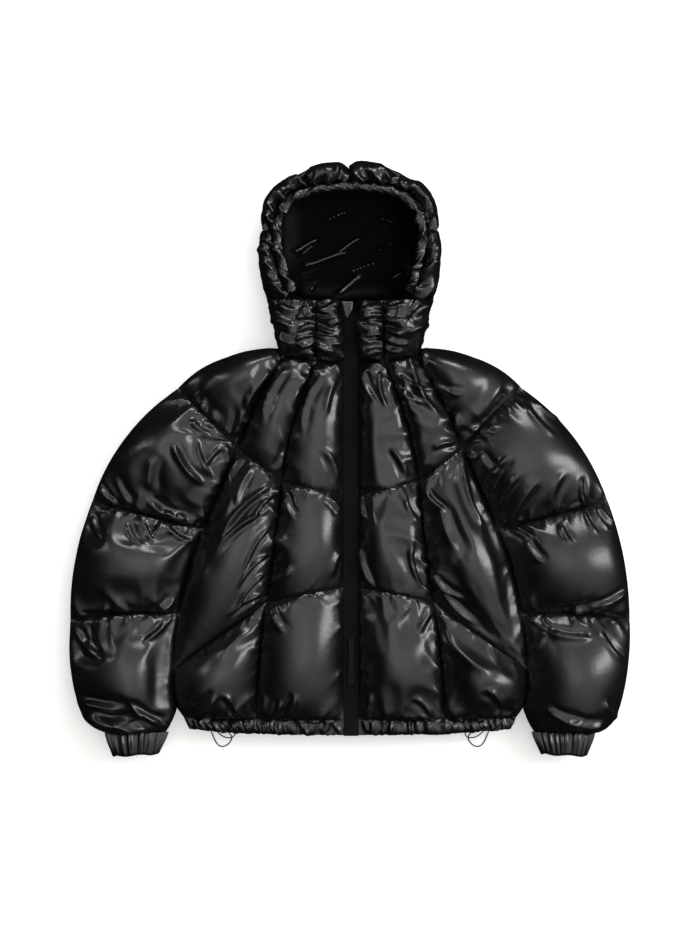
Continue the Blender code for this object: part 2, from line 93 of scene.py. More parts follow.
# Corners of the left half, in millimetres. An x of None is on the zip's edge.
CORNERS = {
    # name: (x, y, height)
    "neck_zip": (None, 167, 58),
    "neck_b": (57, 167, 66),
    "neck_a": (113, 176, 62),
    "neck_out": (121, 190, 50),
    "neck_back": (0, 186, 50),
    "shoulder_mid": (210, 175, 48),
    "shoulder": (293, 122, 46),
    "arm_top": (191, 20, 56),
    "chest_zip": (None, -56, 58),
    "chest_b": (116, -34, 62),
    "chest_back": (0, -44, 56),
    "waist_zip": (None, -216, 58),
    "waist_c": (142, -241, 60),
    "waist_back": (0, -262, 56),
    "waist_out": (300, -354, 50),
    "underarm": (290, -262, 50),
    "arm_mid": (250, -118, 52),
    "fork": (294, -421, 48),
    "hem_zip": (None, -440, 58),
    "hem_c": (160, -440, 54),
    "hem_out": (283, -436, 48),
    "hem_back": (0, -440, 52),
    "hem_edge_zip": (None, -467, 54),
    "hem_edge_out": (273, -457, 48),
    "hem_edge_back": (0, -468, 50),
    "sleeve_1": (438, -68, 46),
    "sleeve_2": (476, -272, 46),
    "sleeve_end": (455, -436, 46),
    "cuff_out": (413, -464, 50),
    "cuff_in": (313, -462, 50),
    "cuff_edge_out": (403, -503, 48),
    "cuff_edge_in": (325, -499, 48),
    "collar_zip": (None, 270, 66),
    "collar_b": (57, 270, 76),
    "hood_notch": (0, 494, 48),
    "crown_1": (81, 479, 48),
    "crown_2": (147, 390, 50),
    "hood_side": (143, 279, 48),
    "rim_top": (0, 471, 80),
    "rim_1": (62, 467, 80),
    "rim_2": (134, 386, 80),
    "rim_3": (103, 273, 78),
}

# Seams and edges. Bow is the arc's height to the left of the way it runs, and lift is how far its
# middle stands above the line between its ends. Gather is how strongly the cloth puckers beside it.
SEAMS = {
    # name: (from, to, bow, lift, gather)
    "neck_1": ("neck_zip", "neck_b", 0, 6, 0.7),
    "neck_2": ("neck_b", "neck_a", 0, 4, 0.8),
    "neck_3": ("neck_a", "neck_out", 0, 0, 0.3),
    "zip_yoke": ("neck_zip", "chest_zip", 0, 0, 0.6),
    "zip_chest": ("chest_zip", "waist_zip", 0, 0, 0.5),
    "zip_lower": ("waist_zip", "hem_zip", 0, 0, 0.5),
    "spoke_b": ("neck_b", "chest_b", 8, 12, 0.7),
    "spoke_a": ("neck_a", "arm_top", 3, 8, 0.9),
    "shoulder_1": ("neck_out", "shoulder_mid", 5, 0, 0),
    "shoulder_2": ("shoulder_mid", "shoulder", 7, 0, 0),
    "sleeve_head": ("shoulder", "arm_top", -3, 16, 0.9),
    "arc_1_in": ("chest_zip", "chest_b", -3, 26, 0.8),
    "arc_1_out": ("chest_b", "arm_top", 0, 18, 0.7),
    "spoke_c_up": ("chest_b", "waist_c", -3, 6, 1.0),
    "spoke_c_low": ("waist_c", "hem_c", 3, 4, 0.6),
    "arc_2_in": ("waist_zip", "waist_c", 2, 26, 0.9),
    "arc_2_out": ("waist_c", "waist_out", 0, 10, 0.5),
    "armhole_1": ("arm_top", "arm_mid", 0, 0, 0.7),
    "armhole_2": ("arm_mid", "underarm", 5, 0, 0.4),
    "side_1": ("underarm", "waist_out", 3, 0, 0.3),
    "side_2": ("waist_out", "fork", 3, 0, 0.3),
    "side_3": ("fork", "hem_out", 0, 0, 0.2),
    "sleeve_fork": ("fork", "cuff_in", -2, 0, 0.3),
    "hem_1": ("hem_zip", "hem_c", -2, 8, 0.9),
    "hem_2": ("hem_c", "hem_out", -2, 4, 0.9),
    "hem_edge": ("hem_edge_zip", "hem_edge_out", -3, 4, 1.0),
    "hem_front_end": ("hem_zip", "hem_edge_zip", 0, 0, 0),
    "hem_side_end": ("hem_out", "hem_edge_out", 0, 0, 0),
    "outline_1": ("shoulder", "sleeve_1", 20, 0, 0),
    "outline_2": ("sleeve_1", "sleeve_2", 10, 0, 0),
    "outline_3": ("sleeve_2", "sleeve_end", 8, 0, 0),
    "outline_4": ("sleeve_end", "cuff_out", 7, 0, 0),
    "ring_1": ("sleeve_1", "arm_mid", 0, 14, 1.0),
    "ring_2": ("sleeve_2", "underarm", -8, 14, 1.0),
    "cuff": ("cuff_out", "cuff_in", 0, 6, 1.0),
    "cuff_outer": ("cuff_out", "cuff_edge_out", 0, 0, 0),
    "cuff_edge": ("cuff_edge_out", "cuff_edge_in", 2, 4, 1.0),
    "cuff_inner": ("cuff_in", "cuff_edge_in", 0, 0, 0),
    "collar_front": ("collar_zip", "neck_zip", 0, 0, 1.4),
    "collar_top_1": ("collar_zip", "collar_b", 0, 2, 1.0),
    "collar_gather": ("collar_b", "neck_b", 0, 4, 1.7),
    "collar_top_2": ("collar_b", "rim_3", 0, 2, 1.0),
    "hood_neck": ("rim_3", "hood_side", 0, 6, 1.0),
    "collar_side": ("hood_side", "neck_out", 0, 0, 1.0),
    "crown_arc_1": ("hood_notch", "crown_1", 18, 0, 0.3),
    "crown_arc_2": ("crown_1", "crown_2", 30, 0, 0.3),
    "crown_arc_3": ("crown_2", "hood_side", 9, 0, 0.3),
    "hood_middle": ("hood_notch", "rim_top", 0, 10, 0.9),
    "hood_seam_1": ("crown_1", "rim_1", 0, 6, 0.9),
    "hood_seam_2": ("crown_2", "rim_2", 0, 4, 0.9),
    "rim_arc_1": ("rim_top", "rim_1", 2, 0, 1.6),
    "rim_arc_2": ("rim_1", "rim_2", 20, 0, 1.6),
    "rim_arc_3": ("rim_2", "rim_3", 7, 0, 1.6),
    "neck_half": ("neck_back", "neck_out", 0, 0, 0.3),
    "yoke_neck": ("neck_back", "neck_a", 0, 0, 0.3),
    "chest_half": ("chest_back", "arm_top", -14, 0, 0.5),
    "waist_half": ("waist_back", "waist_out", 20, 0, 0.5),
    "hem_half": ("hem_back", "hem_out", 0, 0, 0.6),
    "hem_edge_half": ("hem_edge_back", "hem_edge_out", -2, 0, 0.6),
}

# Front pieces of each side: the corner where the walk round it starts, its four edges, and the
# height of its crown.
FRONT_PIECES = {
    # name: (first corner, edge 1, edge 2, edge 3, edge 4, crown)
    "yoke_centre": ("neck_zip", "neck_1", "spoke_b", "arc_1_in", "zip_yoke", 98),
    "yoke_middle": ("neck_b", "neck_2", "spoke_a", "arc_1_out", "spoke_b", 100),
    "chest_centre": ("chest_zip", "arc_1_in", "spoke_c_up", "arc_2_in", "zip_chest", 104),
    "chest_side": (
        "chest_b", "arc_1_out", "armhole_1 armhole_2 side_1", "arc_2_out", "spoke_c_up", 108,
    ),
    "lower_centre": ("waist_zip", "arc_2_in", "spoke_c_low", "hem_1", "zip_lower", 104),
    "lower_side": ("waist_c", "arc_2_out", "side_2 side_3", "hem_2", "spoke_c_low", 102),
    "hem_band": ("hem_zip", "hem_1 hem_2", "hem_side_end", "hem_edge", "hem_front_end", 62),
    "collar_centre": ("neck_zip", "neck_1", "collar_gather", "collar_top_1", "collar_front", 90),
    "collar_outer": (
        "neck_b", "neck_2 neck_3", "collar_side", "hood_neck collar_top_2", "collar_gather", 92,
    ),
    "hood_crown": ("hood_notch", "crown_arc_1", "hood_seam_1", "rim_arc_1", "hood_middle", 97),
    "hood_temple": ("crown_1", "crown_arc_2", "hood_seam_2", "rim_arc_2", "hood_seam_1", 96),
    "hood_cheek": ("crown_2", "crown_arc_3", "hood_neck", "rim_arc_3", "hood_seam_2", 95),
}

# Pieces that go round the outline to the back: edge 1 is the fold, edge 3 the edge opposite
ROUND_PIECES = {
    # name: (nodes, first corner, fold, edge 2, edge 3, edge 4, crown)
    "sleeve_upper": (
        "sleeve_upper_front sleeve_upper_back", "shoulder", "outline_1", "ring_1", "armhole_1",
        "sleeve_head", 104,
    ),
    "sleeve_middle": (
        "sleeve_middle_front sleeve_middle_back", "sleeve_1", "outline_2", "ring_2", "armhole_2",
        "ring_1", 104,
    ),
    "sleeve_lower": (
        "sleeve_lower_front sleeve_lower_back", "sleeve_2", "outline_3 outline_4", "cuff",
        "sleeve_fork side_2 side_1", "ring_2", 106,
    ),
    "shoulder": (
        "shoulder back_shoulder", "neck_out", "shoulder_1 shoulder_2", "sleeve_head", "spoke_a",
        "neck_3", 98,
    ),
}

BACK_PIECES = {
    # name: (upper half, side, lower half, loft)
    "back_yoke": ("yoke_neck", "spoke_a", "chest_half", 52),
    "back_chest": ("chest_half", "armhole_1 armhole_2 side_1", "waist_half", 52),
    "back_lower": ("waist_half", "side_2 side_3", "hem_half", 52),
    "back_hem_band": ("hem_half", "hem_side_end", "hem_edge_half", 16),
}
BACK_SEAM = 0.7
BACK_LOFT = 52

# Long folds: start, end, height and half width, in millimetres
FOLDS = {
    "sleeve_upper_right": (
        (-300, 30, -246, -44, 9, 6), (-256, 36, -232, -30, 6, 4), (-334, 4, -338, -54, 5, 8),
        (-428, -42, -394, -80, 7, 3.5), (-344, -72, -272, -104, 8, 5),
        (-268, 70, -236, 44, 5, 4), (-400, -30, -372, -76, 5, 5), (-216, 22, -240, -8, 5, 4),
    ),
    "sleeve_middle_right": (
        (-308, -112, -272, -138, 6, 4), (-376, -106, -352, -140, 6, 4),
        (-348, -104, -330, -134, 5, 3.5), (-470, -266, -386, -264, 7, 4.5),
        (-440, -96, -424, -128, 5, 4), (-330, -262, -296, -236, 6, 5),
    ),
    "sleeve_lower_right": (
        (-468, -288, -426, -334, 8, 4.5), (-344, -304, -312, -276, 6, 4),
        (-458, -436, -330, -456, 11, 7), (-462, -410, -384, -424, 9, 7),
        (-430, -452, -350, -434, 8, 5), (-372, -418, -318, -448, 8, 5),
        (-448, -280, -438, -326, 5, 3.5),
    ),
    "chest_side_right": (
        (-128, -38, -222, -137, 8, 4), (-137, -82, -234, -160, 6, 4),
        (-137, -112, -182, -196, 6, 3.2), (-140, -158, -190, -214, 7, 3.2),
        (-146, -192, -192, -250, 7, 3.2), (-182, 10, -206, -36, 6, 5),
        (-160, -6, -192, -80, 6, 4), (-150, -226, -206, -262, 6, 3.5),
        (-132, -60, -166, -104, 6, 3), (-282, -240, -240, -180, 3, 14),
    ),
    "chest_centre_left": (
        (18, -142, 38, -216, 8, 3.5), (104, -134, 121, -216, 6, 4), (94, -60, 112, -104, 5, 4),
        (20, -60, 24, -100, 4, 3),
    ),
    "chest_centre_right": (
        (-110, -60, -96, -96, 5, 4), (-14, -150, -30, -196, 5, 4),
        (-128, -214, -100, -180, 5, 5), (-18, -86, -34, -66, 4, 4),
    ),
    "chest_side_left": (
        (192, -6, 236, -122, 8, 5), (150, -78, 184, -160, 4, 9), (140, -200, 190, -238, 5, 4),
        (128, -54, 158, -84, 6, 4), (150, -212, 214, -282, 5, 5),
    ),
    "sleeve_upper_left": (
        (266, 6, 234, -52, 8, 5), (318, -32, 264, -122, 10, 7), (289, -20, 246, -92, 6, 5),
        (390, -30, 400, -80, 9, 3.5), (344, -100, 392, -74, 7, 4), (294, 100, 345, 40, 5, 4),
        (312, 100, 358, 68, 5, 4), (220, 8, 250, -24, 6, 5), (360, -20, 336, -84, 5, 6),
    ),
    "sleeve_middle_left": (
        (321, -266, 413, -250, 10, 6), (407, -250, 470, -222, 7, 4),
        (298, -136, 322, -172, 6, 5), (412, -80, 436, -116, 5, 2.4),
        (424, -78, 450, -108, 5, 2.4), (396, -84, 416, -122, 5, 2.6),
        (356, -110, 372, -140, 4, 4),
    ),
    "sleeve_lower_left": (
        (333, -290, 408, -300, 8, 5), (424, -291, 464, -343, 6, 4),
        (356, -436, 438, -450, 8, 6), (330, -420, 388, -444, 6, 5),
        (302, -330, 330, -296, 5, 5), (430, -410, 456, -440, 6, 6),
    ),
    "shoulder_left": (
        (184, 26, 288, 110, 8, 8), (175, 30, 180, 78, 7, 5), (200, 60, 262, 148, 4, 10),
        (142, 126, 190, 110, 4, 5),
    ),
    "shoulder_right": (
        (-131, 156, -182, 74, 8, 7), (-251, 94, -234, 42, 6, 3.5), (-270, 110, -226, 60, 4, 8),
        (-198, 40, -184, 84, 5, 5),
    ),
    "yoke_middle_left": (
        (76, 146, 142, 118, 6, 4), (104, 160, 154, 70, 6, 4.5), (80, 120, 130, 96, 5, 4),
        (176, 30, 140, 20, 5, 4), (92, 140, 108, 80, 4, 5),
    ),
    "yoke_middle_right": (
        (-66, 150, -100, 84, 5, 5), (-108, 156, -150, 60, 6, 5), (-126, -22, -100, 30, 5, 5),
    ),
    "yoke_centre_left": (
        (20, 150, 44, 96, 5, 4), (50, 150, 62, 88, 5, 4), (96, -28, 70, 20, 6, 5),
    ),
    "yoke_centre_right": (
        (-18, 150, -42, 70, 5, 5), (-48, 146, -84, 40, 5, 5), (-20, -40, -44, 20, 5, 5),
    ),
    "lower_side_left": (
        (158, -288, 236, -360, 5, 10), (262, -420, 232, -386, 5, 6),
    ),
    "lower_side_right": (
        (-160, -286, -222, -336, 4, 8), (-262, -424, -226, -400, 8, 6),
        (-190, -430, -212, -396, 6, 5),
    ),
    "lower_centre_right": (
        (-152, -432, -144, -398, 6, 4), (-108, -434, -92, -398, 7, 4.5),
        (-128, -436, -118, -410, 6, 3.5), (-136, -246, -112, -290, 5, 5),
    ),
    "lower_centre_left": (
        (24, -434, 34, -396, 6, 4), (146, -246, 118, -292, 6, 5),
        (140, -434, 112, -404, 6, 4.5),
    ),
    "collar_centre_left": (
        (54, 258, 26, 250, 6, 3.5), (54, 244, 22, 240, 7, 4), (54, 228, 30, 232, 6, 3.5),
        (54, 214, 24, 206, 7, 4), (54, 198, 30, 200, 6, 3.5), (54, 184, 26, 176, 6, 4),
        (18, 252, 36, 262, 5, 3.5), (18, 208, 34, 196, 5, 4),
    ),
    "collar_centre_right": (
        (-54, 256, -24, 248, 6, 4), (-54, 240, -20, 244, 5, 3.5), (-54, 224, -28, 214, 7, 4),
        (-54, 208, -22, 206, 6, 3.5), (-54, 192, -26, 184, 6, 4), (-16, 236, -34, 226, 5, 4),
        (-16, 196, -36, 192, 5, 4),
    ),
    "collar_outer_left": (
        (60, 256, 92, 264, 6, 4), (60, 238, 100, 236, 7, 4.5), (60, 222, 88, 212, 6, 4),
        (60, 206, 96, 196, 6, 4), (60, 190, 86, 184, 6, 3.5), (136, 262, 104, 240, 6, 5),
        (128, 226, 100, 214, 5, 5),
    ),
    "collar_outer_right": (
        (-60, 258, -84, 250, 6, 4), (-60, 242, -90, 240, 6, 4), (-60, 226, -86, 218, 7, 4),
        (-60, 210, -92, 204, 6, 4), (-60, 194, -84, 190, 6, 3.5), (-132, 244, -98, 226, 6, 6),
        (-126, 212, -96, 196, 6, 6), (-120, 262, -92, 252, 5, 5),
    ),
}

# Seams whose gathers lie only on the lower side: how much the piece above them has
CALM_ABOVE = 0.3
CALM_PIECES = {
    "yoke_centre": ("arc_1_in",),
    "yoke_middle": ("arc_1_out",),
    "chest_centre": ("arc_2_in",),
    "chest_side": ("arc_2_out",),
}


def corner(name, side):
    """A corner on one side: 1 is the wearer's left, -1 the right."""
    x, y, z = CORNERS[name]
    across = ZIP_X + side * ZIP_HALF if x is None else side * x
    return np.array((across, y, z), float)


def seam_length(name, side):
    first, last = SEAMS[name][:2]
    return float(np.linalg.norm(corner(last, side) - corner(first, side)))


def waves(name, side, along, wavelengths, seed):
    """A smooth irregular wave along a seam, the same each run."""
    key = sum(ord(letter) * (index + 3) for index, letter in enumerate(name)) + seed + side
    rng = np.random.default_rng(key)
    total = np.zeros_like(along)
    for wavelength in wavelengths:
        phase = rng.uniform(0, 2 * math.pi)
        total += np.sin(2 * math.pi * along / (wavelength * rng.uniform(0.85, 1.15)) + phase)
    return total / len(wavelengths)


def seam_points(name, side, shares, flat=False):
    """Points on a seam at shares of its length, with the small wander of a gathered seam."""
    first, last, bow, lift, gather = SEAMS[name]
    start, end = corner(first, side), corner(last, side)
    run = end - start
    left = np.array((-run[1], run[0], 0.0))
    left *= side / np.linalg.norm(left)
    arch = 4 * shares * (1 - shares)
    points = start + np.outer(shares, run) + np.outer(bow * arch, left)
    points[:, 2] += lift * arch
    if gather and not flat:
        along = shares * np.linalg.norm(run)
        ends = np.minimum(1, np.minimum(shares, 1 - shares) * np.linalg.norm(run) / 8)
        points += np.outer(ends * gather * 1.2 * waves(name, side, along, (9, 13, 31), 1), left)
        points[:, 2] += ends * gather * 1.4 * waves(name, side, along, (8, 11, 27), 2)
    return points


def edge_points(names, start, side, shares, flat=False):
    """Points along one or more seams in the way of the walk, and the corner it ends at."""
    names = names.split()
    lengths = [seam_length(name, side) for name in names]
    stops = np.concatenate(([0.0], np.cumsum(lengths))) / sum(lengths)
    points = np.zeros((len(shares), 3))
    here = start
    for index, name in enumerate(names):
        first, last = SEAMS[name][:2]
        low, high = stops[index], stops[index + 1]
        inside = (shares >= low - 1e-9) & (shares <= high + 1e-9)
        local = np.clip((shares[inside] - low) / (high - low), 0, 1)
        if here == first:
            points[inside] = seam_points(name, side, local, flat)
            here = last
        else:
            points[inside] = seam_points(name, side, 1 - local, flat)
            here = first
    return points, here


def spacing(count, tight_start, tight_end):
    """Shares from 0 to 1 that crowd together at the ends, where the cloth stands steeply."""
    ramp = (np.arange(count) + 0.5) / count
    density = 1 - tight_start * np.exp(-((ramp / 0.13) ** 2))
    density -= tight_end * np.exp(-(((1 - ramp) / 0.13) ** 2))
    shares = np.concatenate(([0.0], np.cumsum(density)))
    return shares / shares[-1]


def coons(upper, right, lower, left, across, down):
    """Rows of points between four edges, all given from corner 0 outwards."""
    u, v = across[None, :, None], down[:, None, None]
    ruled = upper[None] * (1 - v) + lower[None] * v + left[:, None] * (1 - u) + right[:, None] * u
    corners = (upper[0] * (1 - u) + upper[-1] * u) * (1 - v)
    return ruled - corners - (lower[0] * (1 - u) + lower[-1] * u) * v


def arc_lengths(points, axis):
    """Distance along the rows or columns of a grid, from its first point."""
    steps = np.linalg.norm(np.diff(points, axis=axis), axis=2)
    start = np.zeros_like(np.take(steps, [0], axis=axis))
    return np.concatenate((start, np.cumsum(steps, axis=axis)), axis=axis)


# Small folds beside a gathered seam, in millimetres
PUCKER_SPACING = 13.0
PUCKER_WIDTH = (2.8, 6.4)
PUCKER_REACH = (10, 44)
PUCKER_HEIGHT = (1.4, 6.2)
PUCKER_SLANT = (-0.8, 0.8)  # sideways for each step away from the seam
PUCKER_START = 4.5  # over this distance a pucker rises from its seam
PUCKER_SPREAD = 26  # over this distance it doubles its width


def puckers(along, away, strength, rng, length):
    """Small folds that leave a gathered seam, each with its own length, width and slant."""
    total = np.zeros_like(along)
    if strength <= 0:
        return total
    count = max(3, int(length / PUCKER_SPACING))
    places = (np.arange(count) + rng.uniform(0.1, 0.9, count)) * length / count
    for place in places:
        width = rng.uniform(*PUCKER_WIDTH)
        reach = rng.uniform(*PUCKER_REACH) * (0.5 + 0.5 * strength)
        height = rng.uniform(*PUCKER_HEIGHT) * strength
        slant = rng.uniform(*PUCKER_SLANT)
        spread = width * (1 + away / PUCKER_SPREAD)
        fold = np.exp(-(((along - place - slant * away) / spread) ** 2))
        total += height * fold * (1 - np.exp(-away / PUCKER_START)) * np.exp(-((away / reach) ** 2))
    return total


FOLD_BEND = 0.07  # how far a long fold bows, as a share of its length
FOLD_DIP = 0.5  # depth of the dip beside a fold, as a share of its height


def folds_of(name, points):
    """The long folds of a piece: each a ridge with a sharper near side and a dip beyond it."""
    x, y = points[..., 0], points[..., 1]
    total = np.zeros_like(x)
    for x1, y1, x2, y2, height, width in FOLDS.get(name, ()):
        length = math.hypot(x2 - x1, y2 - y1)
        run_x, run_y = (x2 - x1) / length, (y2 - y1) / length
        along = (x - x1) * run_x + (y - y1) * run_y
        away = (y - y1) * run_x - (x - x1) * run_y
        away = away + FOLD_BEND * length * np.sin(along / length * math.pi)
        ends = np.clip(np.minimum(along + 5, length + 5 - along) / (0.35 * length), 0, 1)
        ends = ends * ends * (3 - 2 * ends)
        ridge = np.exp(-((np.abs(away) / width) ** 1.4))
        dip = np.exp(-(((away - 1.9 * width) / (1.1 * width)) ** 2))
        total += height * ends * (ridge - FOLD_DIP * dip)
    return total


def gather_of(names, piece):
    """How strongly a piece puckers beside an edge."""
    calm = CALM_PIECES.get(piece, ())
    names = names.split()
    rows = [SEAMS[name][4] * (CALM_ABOVE if name in calm else 1) for name in names]
    return sum(rows) / len(rows)


class Sheet:
    """A cloth object and what is needed to close it after its simulation."""

    def __init__(self, name, nodes, grid, slack, plane):
        self.name, self.nodes, self.plane = name, nodes, plane
        self.tall, self.wide = grid.shape[:2]
        self.start = grid.reshape(-1, 3).copy()
        self.slack = slack
        self.object = None


def profile(shares, first, last):
    """A puffed section from 0 to 1 and back, its fullness given at each end."""
    power = first + (last - first) * shares
    return np.maximum(0, np.sin(math.pi * shares)) ** power


def lifted(grid, amount):
    """The grid with its points moved out along the surface by an amount each."""
    out = np.cross(np.gradient(grid, axis=1), np.gradient(grid, axis=0))
    out /= np.maximum(1e-9, np.linalg.norm(out, axis=2))[..., None]
    out *= 1 if out[..., 2].sum() > 0 else -1
    return grid + out * amount[..., None]


def add_puckers(shaped, arch, gathers, seed):
    """Puckers along the four edges of a grid, and the spare cloth at each point."""
    from_left, from_top = arc_lengths(shaped, 1), arc_lengths(shaped, 0)
    from_right = from_left[:, -1:] - from_left
    from_foot = from_top[-1:, :] - from_top
    runs = (
        (from_left, from_top), (from_top, from_right),
        (from_left, from_foot), (from_top, from_left),
    )
    rng = np.random.default_rng(seed)
    total = np.zeros(shaped.shape[:2])
    slack = np.zeros(shaped.shape[:2])
    for (along, away), strength in zip(runs, gathers):
        length = float(along.max())
        ends = np.minimum(1, np.minimum(along, length - along).clip(0) / 10)
        total += puckers(along, away, strength, rng, length) * ends
        slack = np.maximum(slack, strength * np.exp(-((away / GATHER_REACH) ** 2)))
    shaped[...] = lifted(shaped, total * np.minimum(1, arch * 6))
    return np.clip(slack, 0, 1)


def grid_of(name, row, side, cell, tight):
    """The plain grid between a piece's four edges, and the shares along both its ways."""
    names = row[1:5]
    lengths = [sum(seam_length(one, side) for one in group.split()) for group in names]
    wide = max(6, int(round(1.15 * max(lengths[0], lengths[2]) / cell)))
    tall = max(6, int(round(1.15 * max(lengths[1], lengths[3]) / cell)))
    across, down = spacing(wide, tight, tight), spacing(tall, tight, tight)
    made = []
    for flat in (True, False):
        upper, here = edge_points(names[0], row[0], side, across, flat)
        right, here = edge_points(names[1], here, side, down, flat)
        lower, here = edge_points(names[2], here, side, (1 - across)[::-1], flat)
        left, here = edge_points(names[3], here, side, (1 - down)[::-1], flat)
        made.append(coons(upper, right, lower[::-1], left[::-1], across, down))
    plain, wandering = made
    from_left, from_top = arc_lengths(plain, 1), arc_lengths(plain, 0)
    away = np.minimum(
        np.minimum(from_left, from_left[:, -1:] - from_left),
        np.minimum(from_top, from_top[-1:, :] - from_top),
    )
    near = np.exp(-((away / WANDER_REACH) ** 2))[..., None]
    return plain + (wandering - plain) * near, across, down


def pad_sheet(name, row, side, seed):
    """A front piece between four seams."""
    cell = FINE_CELL if name in FINE_PIECES else FRONT_CELL
    grid, across, down = grid_of(name, row, side, cell, 0.45)
    arch = profile(down, PUFF, PUFF)[:, None] * profile(across, PUFF, PUFF)[None, :]
    grid[..., 2] += (row[5] - grid[..., 2]) * arch
    gathers = [gather_of(group, name) for group in row[1:5]]
    slack = add_puckers(grid, arch, gathers, seed)
    wearer = WEARER[side]
    grid = lifted(grid, folds_of(f"{name}_{wearer}", grid) * np.minimum(1, arch * 5))
    if name in BANDS:
        rng = np.random.default_rng(seed)
        along = arc_lengths(grid, 1)
        pleats = ridges(along, 0 * along, rng, BAND_PLEAT_WIDTH, 2) - 0.6
        grid[..., 2] += BAND_PLEAT_HEIGHT * pleats * np.minimum(1, arch * 3)
    return Sheet(f"{name}_{wearer}", [f"{name}_{wearer}"], grid, slack, LEVEL_MID + 0.15)


def lobe_sheet(name, row, side, seed):
    """A piece of the hood, which rolls down to the middle plane at its outer edge."""
    grid, across, down = grid_of(name, row, side, FINE_CELL, 0.4)
    away = np.minimum(1, down / 0.2)
    grid[..., 2] = LEVEL_MID + (grid[..., 2] - LEVEL_MID) * (away * (2 - away))[:, None]
    arch = profile(down, LOBE, LOBE)[:, None] * profile(across, ROUND, ROUND)[None, :]
    grid[..., 2] += (row[5] - grid[..., 2]) * arch
    gathers = [gather_of(group, name) for group in row[1:5]]
    slack = add_puckers(grid, arch, gathers, seed)
    wearer = WEARER[side]
    rng = np.random.default_rng(seed + 300)
    along, aside = arc_lengths(grid, 1), arc_lengths(grid, 0)
    pleats = ridges(along, aside / 20, rng, LOBE_PLEAT_WIDTH, 3, PLEAT_SHARPNESS) - 0.35
    rise = LOBE_PLEAT_HEIGHT * pleats * np.minimum(1, arch * 1.6)
    grid = lifted(grid, rise * down[:, None] ** 0.5)
    return Sheet(f"{name}_{wearer}", [f"{name}_{wearer}"], grid, slack, LEVEL_MID + 0.15)


def round_sheet(name, row, side, seed):
    """A piece that goes round the outline: the front, the fold, and the back on the floor."""
    nodes, edges = row[0].split(), (row[1], *row[2:6])
    grid, across, down = grid_of(name, edges, side, FRONT_CELL, 0.4)
    away = np.minimum(1, down / 0.3)
    front, back = grid.copy(), grid.copy()
    soft = (away * (2 - away))[:, None]
    front[..., 2] = LEVEL_MID + (grid[..., 2] - LEVEL_MID) * soft
    back[..., 2] = LEVEL_MID - (grid[..., 2] - LEVEL_MID) * soft * BACK_SEAM
    arch = profile(down, ROUND, PUFF)[:, None] * profile(across, PUFF, PUFF)[None, :]
    front[..., 2] += (row[6] - front[..., 2]) * arch
    back[..., 2] += (LEVEL_MID - BACK_LOFT - back[..., 2]) * arch
    gathers = [0, *(gather_of(group, name) for group in row[3:6])]
    front_slack = add_puckers(front, arch, gathers, seed)
    back_slack = front_slack * 0.6
    front = lifted(front, folds_of(f"{name}_{WEARER[side]}", front) * np.minimum(1, arch * 5))
    every = np.concatenate((front[::-1], back[1:]))
    every[..., 2] = np.maximum(0, every[..., 2])
    slack = np.concatenate((front_slack[::-1], back_slack[1:]))
    wearer = WEARER[side]
    return Sheet(f"{name}_{wearer}", [f"{one}_{wearer}" for one in nodes], every, slack, None)


def grid_faces(tall, wide):
    index = np.arange(tall * wide).reshape(tall, wide)
    faces = np.stack((index[:-1, :-1], index[:-1, 1:], index[1:, 1:], index[1:, :-1]), axis=-1)
    return faces.reshape(-1, 4)


def border(tall, wide):
    """The grid's outer points, in order round it."""
    index = np.arange(tall * wide).reshape(tall, wide)
    return np.concatenate((index[0, :-1], index[:-1, -1], index[-1, :0:-1], index[:0:-1, 0]))


def start_cloth(sheet):
    """Blender's cloth, blown up from inside, with its seams held and spare cloth beside them."""
    mesh = bpy.data.meshes.new(sheet.name)
    mesh.from_pydata((sheet.start * MM).tolist(), [], grid_faces(sheet.tall, sheet.wide).tolist())
    piece = bpy.data.objects.new(sheet.name + "_cloth", mesh)
    bpy.context.scene.collection.objects.link(piece)
    hold = piece.vertex_groups.new(name="seams")
    hold.add([int(i) for i in border(sheet.tall, sheet.wide)], 1.0, "REPLACE")
    spare = piece.vertex_groups.new(name="spare")
    for index, value in enumerate(sheet.slack.reshape(-1)):
        spare.add([index], float(value), "REPLACE")
    cloth = piece.modifiers.new("Cloth", "CLOTH")
    settings = cloth.settings
    settings.quality = 4
    settings.mass = 0.3
    settings.tension_stiffness = 15
    settings.compression_stiffness = 15
    settings.shear_stiffness = 4
    settings.bending_stiffness = STIFFNESS
    settings.tension_damping = 0
    settings.compression_damping = 0
    settings.shear_damping = 0
    settings.bending_damping = 0
    settings.air_damping = 0
    settings.use_pressure = True
    settings.uniform_pressure_force = PRESSURE
    settings.vertex_group_mass = "seams"
    settings.pin_stiffness = 1
    settings.vertex_group_shrink = "spare"
    settings.shrink_min = -SLACK
    settings.shrink_max = -GATHERED_SLACK
    settings.effector_weights.gravity = 0
    cloth.collision_settings.use_collision = False
    cloth.point_cache.frame_start = 1
    cloth.point_cache.frame_end = FRAMES
    sheet.object = piece


def calmed(move, slack):
    """Smooths the cloth's movement away from the gathers, where the nylon is drawn smooth."""
    for _ in range(6):
        inner = (move[:-2, 1:-1] + move[2:, 1:-1] + move[1:-1, :-2] + move[1:-1, 2:]) / 4
        share = (0.12 + 0.78 * (1 - slack[1:-1, 1:-1]) ** 2)[..., None]
        move[1:-1, 1:-1] += (inner - move[1:-1, 1:-1]) * share
    return move


